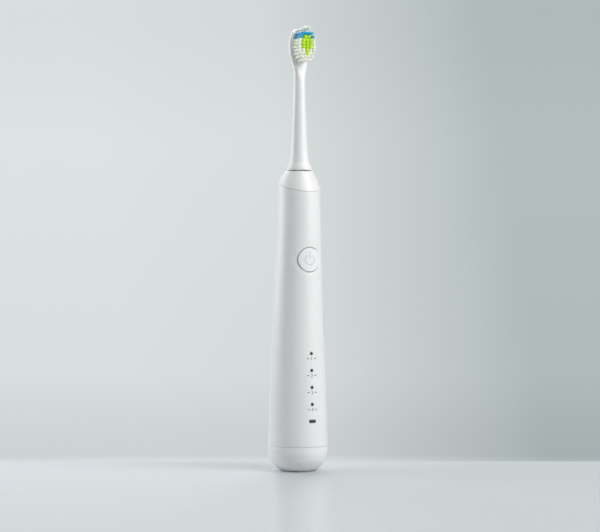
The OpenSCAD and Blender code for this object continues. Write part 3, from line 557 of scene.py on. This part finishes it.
def rounded(outline, steps=5, closed=True):
    """Corners (a, b, fillet) of a flat outline, each with its fillet, as (a, b) points."""
    points = []
    for k, (a, b, fillet) in enumerate(outline):
        corner = Vector((a, b))
        if fillet == 0 or (not closed and k in (0, len(outline) - 1)):
            points.append(corner)
            continue
        before = Vector(outline[k - 1][:2]) - corner
        after = Vector(outline[(k + 1) % len(outline)][:2]) - corner
        before.normalize()
        after.normalize()
        half = before.angle(after) / 2
        centre = corner + (before + after).normalized() * fillet / math.sin(half)
        start = corner + before * fillet / math.tan(half) - centre
        sweep = math.pi - 2 * half
        sign = 1 if before.x * after.y - before.y * after.x < 0 else -1
        points += [centre + Matrix.Rotation(sign * sweep * s / steps, 2) @ start
                   for s in range(steps + 1)]
    return points


def spun(profile, y=0.0, steps=128, closed=True):
    """A profile of (radius, height) points spun round an upright axis."""
    bm = bmesh.new()
    points = [bm.verts.new((p[0], 0, p[1])) for p in profile]
    nexts = points[1:] + points[:1] if closed else points[1:]
    edges = [bm.edges.new(pair) for pair in zip(points, nexts)]
    bmesh.ops.spin(bm, geom=points + edges, cent=(0, 0, 0), axis=(0, 0, 1), angle=math.tau,
                   steps=steps, use_merge=True)
    bmesh.ops.translate(bm, verts=bm.verts, vec=(0, y, 0))
    return bm


# %% [markdown]
# Every piece ends in the same way. Its doubles are merged and its faces turned outwards, its
# faces are shaded smooth, and only the edges that bend more than a crease stay sharp. Then it
# rides on its body, and the CAD parts that it stands for are hidden.


# %% A finished piece
def made(name, bm, material, body, stands_for=(), crease=38, weld=1e-6):
    """Closes a mesh, turns its faces outwards and puts it on its body as a named piece."""
    bmesh.ops.remove_doubles(bm, verts=bm.verts, dist=weld)
    bmesh.ops.dissolve_degenerate(bm, dist=weld / 10, edges=bm.edges)
    bmesh.ops.recalc_face_normals(bm, faces=bm.faces)
    open_edges = sum(1 for edge in bm.edges if not edge.is_manifold)
    for face in bm.faces:
        face.smooth = True
    for edge in bm.edges:
        edge.smooth = len(edge.link_faces) != 2 or edge.calc_face_angle(0) < math.radians(crease)
    piece = placed(name, mesh_of(name, bm))
    piece.data.materials.append(material)
    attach(piece, body)
    if stands_for:
        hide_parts(*stands_for)
    triangles = sum(len(face.vertices) - 2 for face in piece.data.polygons)
    print(f"{name}: {triangles} triangles, {open_edges} open edges")


# %% [markdown]
# ## The handle shell
#
# The real shell is moulded in one piece, with an even wall. Here it is one grid wrapped round
# the handle, whose rows run up the outside, over a small fillet and down the inside. The holes
# could be cut with a Boolean modifier, but its ragged faces would show in the gloss round each
# hole. So the faces round a hole are deleted, loops are laid from the outer skin to the inner
# skin, and `bridge_loops` joins them to both. For the button the first loops sink into a
# shallow dish, so that a faint ring shows round it.

# %% The wall of the shell
SIDES = 144
LEVELS = 118
EDGE = 0.15 * MM
EDGE_STEPS = 3
SPIGOT_TALL = 8.6 * MM
SPIGOT_TOP = CAP_TOP + SPIGOT_TALL
BORE_R = handle_radius(SPIGOT_TOP) - WALL
SHELL_FOOT = SHELL_LOW.z


def inner_depth(level):
    """How deep the inside lies: a straight bore round the cap's spigot, and then an even wall."""
    return handle_radius(level) - BORE_R if level < SPIGOT_TOP else WALL


def shell_section():
    """The shell's wall as a closed path of (level, depth)."""
    arc = [math.pi / 2 * s / EDGE_STEPS for s in range(EDGE_STEPS + 1)]
    levels = [SHELL_FOOT + EDGE + (SEAM_Z - SHELL_FOOT - 2 * EDGE) * k / LEVELS
              for k in range(LEVELS + 1)]
    foot = [(SHELL_FOOT + EDGE * (1 - math.cos(a)), EDGE * (1 - math.sin(a))) for a in arc]
    top = [(SEAM_Z - EDGE * (1 - math.sin(a)), EDGE * (1 - math.cos(a))) for a in arc]
    inside = [(level, inner_depth(level)) for level in reversed(levels)]
    return (foot[:-1] + [(level, 0.0) for level in levels] + top[1:]
            + [(SEAM_Z, WALL)] + inside + [(SHELL_FOOT, inner_depth(SHELL_FOOT))])


section = shell_section()
shell_bm = bmesh.new()
mapped_grid(shell_bm, SIDES, len(section),
            lambda column, row: round_point(math.pi / 2 + math.tau * column / SIDES,
                                            *section[row % len(section)]))
bmesh.ops.remove_doubles(shell_bm, verts=shell_bm.verts, dist=1e-7)
print("shell grid:", len(shell_bm.faces), "faces")


# %% How a window is opened
def power(value, exponent):
    """A power that keeps the sign."""
    return math.copysign(abs(value) ** exponent, value)


def window_point(window, grow, turn):
    """A point (x, z) of a window's outline, grown by a distance: an oval that may be squarer."""
    half_w, half_h, squareness = window
    return ((half_w + grow) * power(math.cos(turn), 2 / squareness),
            (half_h + grow) * power(math.sin(turn), 2 / squareness))


def open_window(bm, z, window, clear, loops, count):
    """Opens the shell round (0, z) and lines the opening with loops of (grow, depth)."""
    clear_x, clear_z = window[0] + clear, window[1] + clear
    doomed = [face for face in bm.faces
              if all(abs(v.co.x) < clear_x and abs(v.co.z - z) < clear_z and v.co.y < 0
                     for v in face.verts)]
    bmesh.ops.delete(bm, geom=doomed, context="FACES")
    rims = [edge for edge in bm.edges if edge.is_boundary]
    known = set(rims)

    def line(column, row):
        grow, depth = loops[row]
        x, dz = window_point(window, grow, math.tau * (column % count + 0.5) / count)
        return front_point(x, z + dz, depth)

    lining = mapped_grid(bm, count, len(loops) - 1, line)
    bmesh.ops.remove_doubles(bm, verts=lining, dist=1e-7)
    ends = [edge for edge in bm.edges if edge.is_boundary and edge not in known]

    def split(edges):
        """The outer and the inner loop of a set of open edges."""
        def is_outer(edge):
            middle = (edge.verts[0].co + edge.verts[1].co) / 2
            return front_point(middle.x, middle.z, WALL / 2).y > middle.y
        return [e for e in edges if is_outer(e)], [e for e in edges if not is_outer(e)]

    for rim, end in zip(split(rims), split(ends)):
        bmesh.ops.bridge_loops(bm, edges=rim + end)


# %% The button's dish and hole
BUTTON_LOW, BUTTON_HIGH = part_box("button_cap")
BUTTON_Z = (BUTTON_LOW.z + BUTTON_HIGH.z) / 2
BUTTON_R = (BUTTON_HIGH.z - BUTTON_LOW.z) / 2
BUTTON_GAP = 0.35 * MM
DISH_R = 8.8 * MM
DISH_DEPTH = 0.14 * MM
DISH_STEEPNESS = 1.6
DISH_CLEAR = 0.8 * MM
HOLE_R = BUTTON_R + BUTTON_GAP
HOLE_SIDES = 126
ROUND = 2
EDGE_TURNS = (0.0, 0.4, 0.8, 1.2, math.pi / 2)
dish = [((DISH_R - HOLE_R) * share, DISH_DEPTH * ease(DISH_STEEPNESS * (1 - share)))
        for share in (1.0, 0.92, 0.84, 0.76, 0.68, 0.6, 0.5, 0.4, 0.3, 0.2, 0.1)]
lip = [(EDGE * (1 - math.sin(turn)), DISH_DEPTH + EDGE * (1 - math.cos(turn)))
       for turn in EDGE_TURNS]
open_window(shell_bm, BUTTON_Z, (HOLE_R, HOLE_R, ROUND), DISH_R - HOLE_R + DISH_CLEAR,
            dish + lip + [(0, 0.5 * WALL), (0, WALL)], HOLE_SIDES)
print(f"button hole {2 * HOLE_R / MM:.1f} mm across, in a dish {2 * DISH_R / MM:.1f} mm across")

# %% The holes for the lights, and the finished shell
ROUND_LENSES = ["mode_lens_1", "mode_lens_2", "mode_lens_3", "mode_lens_4"]
BAR_LENS = "battery_lens"
BAR_SQUARENESS = 6
SLIP = 0.03 * MM
LENS_RIM = 0.06 * MM
LENS_CLEAR = 1.3 * MM
LENS_SIDES = 32


def lens_place(node):
    """Height of a lens, and its outline as a window."""
    low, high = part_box(node)
    return (low.z + high.z) / 2, ((high.x - low.x) / 2, (high.z - low.z) / 2,
                                  BAR_SQUARENESS if node == BAR_LENS else ROUND)


for lens in ROUND_LENSES + [BAR_LENS]:
    lens_z, window = lens_place(lens)
    open_window(shell_bm, lens_z, window, LENS_CLEAR,
                [(SLIP + LENS_RIM, 0), (SLIP, LENS_RIM), (SLIP, WALL)], LENS_SIDES)
made("handle_shell", shell_bm, SHELL_WHITE, "handle", ["body_shell"])

# %% [markdown]
# ## The collar
#
# The collar closes the handle at the top. Its lower edge follows the leaning seam, its top is
# flat with a rounded shoulder, and the seal sits in its bore. A skirt reaches down inside the
# shell. With a level seam it could simply be spun. The seam leans, so the collar is a grid
# again, on a closed path of radius and height, and each point of the path says how much of the
# seam's lean it takes.

# %% Collar
SHOULDER_R = 7.5 * MM
SEAL_BORE_R = 4.6 * MM
SHELF_DROP = 7.9 * MM
SHELF_Z = HANDLE_TOP - SHELF_DROP
SKIRT_GAP = 0.15 * MM
SKIRT_R = WAIST_R - WALL - SKIRT_GAP
SKIRT_IN_R = 7.9 * MM
SKIRT_FOOT = COLLAR_LOW.z
COLLAR_RISE = 14
COLLAR_BULGE = 0.3 * MM
seam_low = SEAM_Z + SEAM_GAP


def collar_section():
    """The collar's wall as a closed path of (radius, height, share of the seam's lean)."""
    path = [(SKIRT_R, seam_low, SKIRT_R / WAIST_R), (WAIST_R - 0.6 * MM, seam_low, 0.95),
            (WAIST_R - EDGE, seam_low, 1.0), (WAIST_R - 0.3 * EDGE, seam_low + 0.3 * EDGE, 1.0)]
    for k in range(1, COLLAR_RISE + 1):
        t = k / (COLLAR_RISE + 1)
        bulge = COLLAR_BULGE * math.sin(math.pi * t)
        path.append((WAIST_R + (SHOULDER_R - WAIST_R) * t + bulge,
                     seam_low + (HANDLE_TOP - seam_low) * t, 1 - t))
    flat = rounded([(path[-1][0], path[-1][1], 0), (SHOULDER_R, HANDLE_TOP, 0.5 * MM),
                    (SEAL_BORE_R, HANDLE_TOP, 0.3 * MM), (SEAL_BORE_R, SHELF_Z, 0),
                    (SKIRT_IN_R, SHELF_Z, 0), (SKIRT_IN_R, SKIRT_FOOT, 0.2 * MM),
                    (SKIRT_R, SKIRT_FOOT, 0.2 * MM), (SKIRT_R, SEAM_Z - 5 * MM, 0)], closed=False)
    return path + [(p.x, p.y, 0.0) for p in flat[1:]]


collar_path = collar_section()
collar_bm = bmesh.new()


def collar_point(column, row):
    radius, height, share = collar_path[row % len(collar_path)]
    turn = math.tau * column / SIDES
    lean = share * SEAM_SLOPE * WAIST_R * math.sin(turn)
    return Vector((radius * math.cos(turn), SHAFT_Y + radius * math.sin(turn), height + lean))


mapped_grid(collar_bm, SIDES, len(collar_path), collar_point)
made("collar", collar_bm, SHELL_WHITE, "handle", ["top_collar"])

# %% [markdown]
# ## The bottom cap
#
# The cap closes the handle at its foot: a foot ring that stands on the table, a large rounded
# edge, a step for the shell, and the spigot that goes up inside it. From below it has the
# socket for a charger's post. It is round all the way, so it is spun from one profile, which
# leaves no seam and keeps its edge as round as the real one.

# %% Bottom cap
CORNER_R = 12 * MM
CORNER_Z = 10.95 * MM
CAP_WALL = 1.8 * MM
SOCKET_R = 4.5 * MM
SOCKET_TOP = 10 * MM
CAP_FLOOR = 2 * MM
SOCKET_WALL = 1.2 * MM
CAP_SEAM = 0.09 * MM
CAP_EDGE_Z = SHELL_FOOT - CAP_SEAM
SPIGOT_GAP = 0.15 * MM
SPIGOT_R = BORE_R - SPIGOT_GAP
CELL_CLEAR = 1.3 * MM
SPIGOT_IN_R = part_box("battery_cell")[1].y + CELL_CLEAR


def corner_arc(radius, start, end, steps):
    """Points on an arc about the middle of the cap's rounded edge."""
    return [(FOOT_R - CORNER_R + radius * math.cos(start + (end - start) * s / steps),
             CORNER_Z + radius * math.sin(start + (end - start) * s / steps), 0)
            for s in range(steps + 1)]


foot_turn = -math.asin(CORNER_Z / CORNER_R)
inner_r = CORNER_R - CAP_WALL
floor_turn = -math.asin((CORNER_Z - CAP_FLOOR) / inner_r)
wall_turn = -math.acos((SPIGOT_IN_R - FOOT_R + CORNER_R) / inner_r)
corner = corner_arc(CORNER_R, foot_turn, 0, 20)
cap_outline = ([(0, SOCKET_TOP, 0), (SOCKET_R, SOCKET_TOP, 0.3 * MM), (SOCKET_R, 0, 0.5 * MM),
                (corner[0][0], 0, 0.45 * MM)] + corner[1:]
               + [(FOOT_R, CAP_EDGE_Z, 0.08 * MM), (SPIGOT_R, CAP_EDGE_Z, 0.05 * MM),
                  (SPIGOT_R, SPIGOT_TOP, 0.35 * MM), (SPIGOT_IN_R, SPIGOT_TOP, 0.2 * MM)]
               + corner_arc(inner_r, wall_turn, floor_turn, 10)
               + [(SOCKET_R + SOCKET_WALL, CAP_FLOOR, 0),
                  (SOCKET_R + SOCKET_WALL, SOCKET_TOP + SOCKET_WALL, 0),
                  (0, SOCKET_TOP + SOCKET_WALL, 0)])
cap_bm = spun(rounded(cap_outline, closed=False), closed=False)
made("foot_cap", cap_bm, SHELL_WHITE, "handle", ["bottom_cap"])

# %% [markdown]
# ## The button
#
# The button's face is flatter than the handle it sits in, so it catches the light as one calm
# disc. A disc with a bevel would be simpler, but its flat rim would stand out of the round
# handle on both sides. So it is a set of loops from its middle outwards, each bent like the
# handle but less, over a small rounded edge and down its side, closed behind by the post that
# works the switch. The mark on it is a thin raised ring, open at the top, and a bar.

# %% Button
FLATTEN = 0.62
SUNK = 0.22 * MM
BUTTON_EDGE = 0.22 * MM
BUTTON_WALL = 1.15 * MM
POST_R = 1.2 * MM
BUTTON_SIDES = 96
FACE_LOOPS = 10


def face_point(x, z, depth=0.0):
    """A point on the button's face, which bends less than the handle does."""
    top = front_point(0, z).y
    side = front_point(x, z).y
    return Vector((x, top + FLATTEN * (side - top) + SUNK + depth, z))


face_loops = [(BUTTON_R * k / FACE_LOOPS, 0.0) for k in range(FACE_LOOPS)]
face_loops += [(BUTTON_R - BUTTON_EDGE * (1 - math.sin(turn)), BUTTON_EDGE * (1 - math.cos(turn)))
               for turn in EDGE_TURNS]
face_loops += [(BUTTON_R, BUTTON_WALL), (POST_R, BUTTON_WALL)]


def button_point(column, row):
    turn = math.tau * column / BUTTON_SIDES
    if row < len(face_loops):
        radius, depth = face_loops[row]
        return face_point(radius * math.cos(turn), BUTTON_Z + radius * math.sin(turn), depth)
    radius = POST_R if row == len(face_loops) else 0
    return Vector((radius * math.cos(turn), BUTTON_HIGH.y, BUTTON_Z + radius * math.sin(turn)))


button_bm = bmesh.new()
mapped_grid(button_bm, BUTTON_SIDES, len(face_loops) + 1, button_point)
made("power_button", button_bm, BUTTON_WHITE, "button", ["button_cap"])

# %% Power mark
MARK_R = 2.75 * MM
MARK_STROKE = 0.42 * MM
MARK_PROUD = 0.03 * MM
MARK_OPEN = math.radians(34)
ARC_STEPS = 60
BAR_STEPS = 8
BAR_LOW = 0.2 * MM
BAR_HIGH = 4.3 * MM


def ribbon(bm, steps, point):
    """Adds a closed bar. point() says where its share along, its side and its depth lie."""
    half = 0.5 * MARK_STROKE
    corners = [(-half, 2 * MARK_PROUD), (-half, -MARK_PROUD), (half, -MARK_PROUD),
               (half, 2 * MARK_PROUD)]
    skin = mapped_grid(bm, steps, 4,
                       lambda column, row: point(column / steps, *corners[row % 4]))
    bmesh.ops.remove_doubles(bm, verts=skin, dist=1e-7)
    bmesh.ops.holes_fill(bm, edges=[e for e in bm.edges if e.is_boundary], sides=4)


def arc_point(t, side, depth):
    turn = math.pi / 2 + MARK_OPEN + (math.tau - 2 * MARK_OPEN) * t
    radius = MARK_R + side
    return face_point(radius * math.cos(turn), BUTTON_Z + radius * math.sin(turn), depth)


def bar_point(t, side, depth):
    return face_point(side, BUTTON_Z + BAR_LOW + (BAR_HIGH - BAR_LOW) * t, depth)


mark_bm = bmesh.new()
ribbon(mark_bm, ARC_STEPS, arc_point)
ribbon(mark_bm, BAR_STEPS, bar_point)
made("power_mark", mark_bm, MARK_GREY, "button")

# %% [markdown]
# ## The lights
#
# Each light is a small dark lens that fills its hole and stands a hair proud in the middle. The
# lowest one is a slot, and shows the charge. Under each of the four round ones is its number.
# An image could carry the numbers, but it would blur from near by. So a number starts as text,
# becomes a mesh, is cut into narrow strips so that it can bend, and is laid on the handle with
# a thickness of its own.

# %% Lenses
LENS_DOME = 0.07 * MM
LENS_EDGE = 0.05 * MM


def lens_piece(name, node):
    """A lens that fills its window, stands proud in the middle and is as deep as the wall."""
    z, window = lens_place(node)
    half_h = window[1]
    skin = [(half_h * (share - 1), -LENS_DOME * math.cos(share * math.pi / 2))
            for share in (0.25, 0.5, 0.75, 0.92)]
    skin += [(0, LENS_EDGE), (0, WALL)]

    def lens_point(column, row):
        grow, depth = skin[row]
        x, dz = window_point(window, grow, math.tau * (column % LENS_SIDES + 0.5) / LENS_SIDES)
        return front_point(x, z + dz, depth)

    bm = bmesh.new()
    mapped_grid(bm, LENS_SIDES, len(skin) - 1, lens_point)
    bmesh.ops.remove_doubles(bm, verts=bm.verts, dist=1e-7)
    bmesh.ops.holes_fill(bm, edges=[e for e in bm.edges if e.is_boundary], sides=0)
    made(name, bm, LENS_DARK, "handle", [node])


for number, lens in enumerate(ROUND_LENSES, 1):
    lens_piece(f"light_{number}", lens)
lens_piece("charge_light", BAR_LENS)

# %% Numbers under the lights
NUMBER_TALL = 1.9 * MM
NUMBER_DROP = 2.7 * MM
DASH_FROM = 1.5 * MM
DASH_TO = 2.9 * MM
DASH_TALL = 0.4 * MM
INK = 0.02 * MM
STRIP = 0.35 * MM
STRIPS = 9


def laid_on_handle(bm):
    """Bends a flat drawing in X and Z round the handle and gives it the thickness of a print."""
    for x in [STRIP * k for k in range(-STRIPS, STRIPS + 1)]:
        bmesh.ops.bisect_plane(bm, geom=bm.verts[:] + bm.edges[:] + bm.faces[:],
                               plane_co=(x, 0, 0), plane_no=(1, 0, 0), dist=1e-7)
    for point in bm.verts:
        point.co = front_point(point.co.x, point.co.z, 0.5 * INK)
    shell = bmesh.ops.extrude_face_region(bm, geom=bm.faces[:])["geom"]
    for point in [part for part in shell if isinstance(part, bmesh.types.BMVert)]:
        point.co = front_point(point.co.x, point.co.z, -INK)


def number_mesh(text):
    """A number as a flat mesh in X and Z, as tall as NUMBER_TALL."""
    letters = bpy.data.curves.new("number_" + text, "FONT")
    letters.body = text
    letters.align_x = "CENTER"
    letters.align_y = "CENTER"
    letters.resolution_u = 4
    holder = placed("number_" + text, letters)
    flat = holder.to_mesh()
    bm = bmesh.new()
    bm.from_mesh(flat)
    holder.to_mesh_clear()
    bpy.data.objects.remove(holder)
    bpy.data.curves.remove(letters)
    low, high = min(v.co.y for v in bm.verts), max(v.co.y for v in bm.verts)
    bmesh.ops.translate(bm, verts=bm.verts, vec=(0, -(low + high) / 2, 0))
    bmesh.ops.scale(bm, verts=bm.verts, vec=[NUMBER_TALL / (high - low)] * 3)
    bmesh.ops.rotate(bm, verts=bm.verts, cent=(0, 0, 0),
                     matrix=Matrix.Rotation(math.pi / 2, 3, "X"))
    return bm


for number, lens in enumerate(ROUND_LENSES, 1):
    print_z = lens_place(lens)[0] - NUMBER_DROP
    bm = number_mesh(str(number))
    for side in (-1, 1):
        dash = bmesh.ops.create_grid(bm, x_segments=3, y_segments=1, size=0.5,
                                     matrix=Matrix.Rotation(math.pi / 2, 4, "X"))["verts"]
        bmesh.ops.scale(bm, verts=dash, vec=(DASH_TO - DASH_FROM, 1, DASH_TALL))
        bmesh.ops.translate(bm, verts=dash, vec=(side * (DASH_FROM + DASH_TO) / 2, 0, 0))
    bmesh.ops.translate(bm, verts=bm.verts, vec=(0, 0, print_z))
    laid_on_handle(bm)
    made(f"number_{number}_print", bm, PRINT_GREY, "handle", weld=1e-7)

# %% [markdown]
# ## The brush head
#
# A ring that narrows upwards seats on the collar, and from it the neck goes up in one long
# curve, flares into the plate and ends in a rounded tip. A rod and a slab could be joined, but
# the real head is moulded in one flow, and a joint would show as a crease. So the neck and
# plate are one loft: each row of the grid is a rounded section with its own half width, front
# and back, and the round neck turns into the flat plate without a seam.

# %% Ring at the head's foot
RING_LOW, RING_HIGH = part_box("head_base_ring")
HEAD_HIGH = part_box("head_shell")[1]
RING_R = RING_HIGH.x
RING_TOP = RING_HIGH.z
RING_BORE = 4.6 * MM
RING_SIDES = 96
NECK_FOOT_R = 5.65 * MM
ring_outline = [(RING_BORE, RING_LOW.z, 0.15 * MM), (RING_R, RING_LOW.z, 0.35 * MM),
                (RING_R - 0.1 * MM, RING_LOW.z + 0.35 * (RING_TOP - RING_LOW.z), 0.8 * MM),
                (NECK_FOOT_R + 0.35 * MM, RING_TOP - 0.3 * MM, 0.5 * MM),
                (NECK_FOOT_R + 0.1 * MM, RING_TOP, 0.08 * MM), (RING_BORE, RING_TOP, 0)]
made("head_ring", spun(rounded(ring_outline), SHAFT_Y, RING_SIDES), SHELL_WHITE, "brush_head",
     ["head_base_ring"])

# %% Sizes of the neck and plate
PLATE_TALL = 19.2 * MM
PLATE_HALF_W = HEAD_HIGH.x
PLATE_FRONT = 1.6 * MM
PLATE_BACK = 2.2 * MM
PLATE_POWER = 2.3
NECK_R = 3.08 * MM
HEAD_TOP = HEAD_HIGH.z
PLATE_MID = HEAD_TOP - PLATE_TALL / 2
NECK_BLEND = 6.2 * MM
NECK_TOP = HEAD_TOP - PLATE_TALL - NECK_BLEND
WIDE_FROM = 0.62
BLEND_TOP = PLATE_MID - WIDE_FROM * PLATE_TALL / 2
BLEND_LEAD = 3 * MM
NECK_FLARE = 0.7 * MM
NECK_SIDES = 72
HOLLOW_GAP = 0.3 * MM
HOLLOW_R = RING_BORE - HOLLOW_GAP
HOLLOW_Z = RING_TOP - 3 * MM
FRONT_SQUARE = 4.5
BACK_SQUARE = 0.6
print(f"plate {2 * PLATE_HALF_W / MM:.1f} mm across, neck {2 * NECK_R / MM:.1f} mm at its thinnest")

# %% Sections of the head
TAPER_POWER = 1.4
FLARE_SPEED = 16
WIDEN_POWER = 1.8
NECK_ROWS = 34
NECK_ROW_POWER = 1.5
FLARE_ROWS = 16
PLATE_ROWS = 40


def neck_radius(z):
    """The neck's radius: a long even taper, with a quick flare at its foot."""
    t = (z - RING_TOP) / (NECK_TOP - RING_TOP)
    t = min(1, max(0, t))
    taper = (NECK_FOOT_R - NECK_FLARE - NECK_R) * (1 - t) ** TAPER_POWER
    return NECK_R + taper + NECK_FLARE * math.exp(-FLARE_SPEED * t)


def plate_half_width(z):
    """The plate's half width, as a squarish oval."""
    share = min(1, abs(z - PLATE_MID) / (PLATE_TALL / 2))
    return PLATE_HALF_W * (1 - share ** PLATE_POWER) ** (1 / PLATE_POWER)


def head_section(z):
    """Half width, front reach, back reach and squareness of the head at a height."""
    blend = min(1, max(0, (z - NECK_TOP + BLEND_LEAD) / (BLEND_TOP - NECK_TOP + BLEND_LEAD)))
    neck = neck_radius(z)
    if z < BLEND_TOP:
        half_w = neck + (plate_half_width(BLEND_TOP) - neck) * blend ** WIDEN_POWER
    else:
        half_w = plate_half_width(z)
    front = neck + (PLATE_FRONT - neck) * ease(blend)
    back = neck + (PLATE_BACK - neck) * ease(blend)
    return half_w, front, back, ease(blend)


def head_rows():
    """Heights of the rows: close together where the shape turns."""
    neck = [RING_TOP + (NECK_TOP - RING_TOP) * (k / NECK_ROWS) ** NECK_ROW_POWER
            for k in range(NECK_ROWS + 1)]
    flare = [NECK_TOP + (BLEND_TOP - NECK_TOP) * k / FLARE_ROWS for k in range(1, FLARE_ROWS + 1)]
    start = math.asin((BLEND_TOP - PLATE_MID) / (PLATE_TALL / 2))
    plate = [PLATE_MID + PLATE_TALL / 2 * math.sin(start + (math.pi / 2 - start) * k / PLATE_ROWS)
             for k in range(1, PLATE_ROWS + 1)]
    return neck + flare + plate


# %% Neck and plate
rows_up = head_rows()


def head_point(column, row):
    """Rows 0 to 2 close the foot of the neck inside the ring, and the others go up the head."""
    turn = math.tau * column / NECK_SIDES
    if row < 3:
        radius, z = ((0, HOLLOW_Z), (HOLLOW_R, HOLLOW_Z), (HOLLOW_R, RING_TOP))[row]
        return Vector((radius * math.cos(turn), SHAFT_Y + radius * math.sin(turn), z))
    z = rows_up[row - 3]
    half_w, front, back, squareness = head_section(z)
    reach = front if math.sin(turn) < 0 else back
    square = ROUND + (FRONT_SQUARE if math.sin(turn) < 0 else BACK_SQUARE) * squareness
    x = half_w * power(math.cos(turn), 2 / square)
    return Vector((x, SHAFT_Y + reach * power(math.sin(turn), 2 / square), z))


head_bm = bmesh.new()
mapped_grid(head_bm, NECK_SIDES, len(rows_up) + 2, head_point)
made("neck_and_plate", head_bm, NECK_WHITE, "brush_head", ["head_shell"], crease=50)

# %% [markdown]
# ## The bristles
#
# A tuft is a bundle of nylon filaments a sixth of a millimetre thick, folded over a small metal
# anchor. A hair system could grow them, but hair isn't a mesh that a body can carry. The CAD
# has one solid rod for each tuft, and that rod gives the tuft's foot and tip. Filaments are
# then set out in it in a sunflower pattern, each leaning a little its own way and cut at its
# own height. One template with a rounded end is copied for all of them.

# %% Where the tufts are
random.seed(11)


def rods(node):
    """Foot and tip of each rod in a CAD node, found as the islands of its merged copy."""
    bm = bmesh.new()
    bm.from_mesh(frame["nodes"][node].data)
    bmesh.ops.remove_doubles(bm, verts=bm.verts, dist=1e-6)
    bm.verts.index_update()
    left = set(bm.verts)
    found = []
    while left:
        island, waiting = [], [left.pop()]
        while waiting:
            point = waiting.pop()
            island.append(point)
            near = {edge.other_vert(point) for edge in point.link_edges} & left
            waiting += near
            left -= near
        island.sort(key=lambda point: point.index)
        middle = sum(point.co.y for point in island) / len(island)
        foot = [point.co for point in island if point.co.y > middle]
        tip = [point.co for point in island if point.co.y <= middle]
        found.append([sum(end, Vector()) / len(end) for end in (foot, tip)])
    bm.free()
    return sorted(found, key=lambda rod: (round(rod[0].z, 5), round(rod[0].x, 5)))


TUFTS = {node: rods(node) for node in ("bristles_blue", "bristles_green", "bristles_white")}
print("tufts:", {node: len(found) for node, found in TUFTS.items()})

# %% One filament
FILAMENT_R = 0.085 * MM


def filament_template():
    """One filament of unit length: a slim five-sided tube with a rounded end."""
    bm = bmesh.new()
    bmesh.ops.create_cone(bm, cap_ends=False, segments=5, radius1=FILAMENT_R,
                          radius2=FILAMENT_R, depth=1, matrix=Matrix.Translation((0, 0, 0.5)))
    bmesh.ops.create_cone(bm, cap_ends=False, segments=5, radius1=FILAMENT_R,
                          radius2=0.6 * FILAMENT_R, depth=0.012,
                          matrix=Matrix.Translation((0, 0, 1.006)))
    bmesh.ops.remove_doubles(bm, verts=bm.verts, dist=1e-6)
    bmesh.ops.holes_fill(bm, edges=[e for e in bm.edges if e.is_boundary], sides=5)
    return mesh_of("filament", bm)


filament = filament_template()
print("one filament:", len(filament.polygons), "faces")

# %% Bristles
FILAMENTS = 56
TUFT_R = 0.75 * MM
SUNFLOWER_TURN = 2.39996
ROOT_UP = 1.2 * MM
ROOT_SPREAD = 0.96
TIP_SPREAD = 1.22
TIP_STRAY = 0.12
CUT_SHORT = -0.16
CUT_LONG = 0.06
DOMED = 0.12 * MM


def tuft_filaments(bm, foot, tip):
    """Fills one tuft with filaments from foot to tip."""
    axis = (tip - foot).normalized()
    start = foot + axis * ROOT_UP
    across = axis.orthogonal().normalized()
    over = axis.cross(across)
    for k in range(FILAMENTS):
        radius = (TUFT_R - FILAMENT_R) * math.sqrt((k + 0.5) / FILAMENTS)
        turn = SUNFLOWER_TURN * k
        side = across * radius * math.cos(turn) + over * radius * math.sin(turn)
        spread = TIP_SPREAD + random.uniform(-TIP_STRAY, TIP_STRAY)
        cut = random.uniform(CUT_SHORT, CUT_LONG) * MM - DOMED * (radius / TUFT_R) ** 2
        top = tip + side * spread + axis * cut
        top.z = min(top.z, cad_box[1].z - FILAMENT_R)
        root = start + side * ROOT_SPREAD
        way = top - root
        turned = way.to_track_quat("Z", "Y").to_matrix().to_4x4()
        copy = filament.copy()
        copy.transform(Matrix.Translation(root) @ turned @ Matrix.Diagonal((1, 1, way.length, 1)))
        bm.from_mesh(copy)
        bpy.data.meshes.remove(copy)


for name, node, material, slot in (
        ("blue_bristles", "bristles_blue", NYLON_BLUE, "nylon_blue"),
        ("green_bristles", "bristles_green", NYLON_GREEN, "nylon_green"),
        ("white_bristles", "bristles_white", NYLON_WHITE, "nylon_white")):
    tuft_bm = bmesh.new()
    for foot, tip in TUFTS[node]:
        tuft_filaments(tuft_bm, foot, tip)
    made(name, tuft_bm, material, "brush_head", [node], weld=1e-8)
bpy.data.meshes.remove(filament)
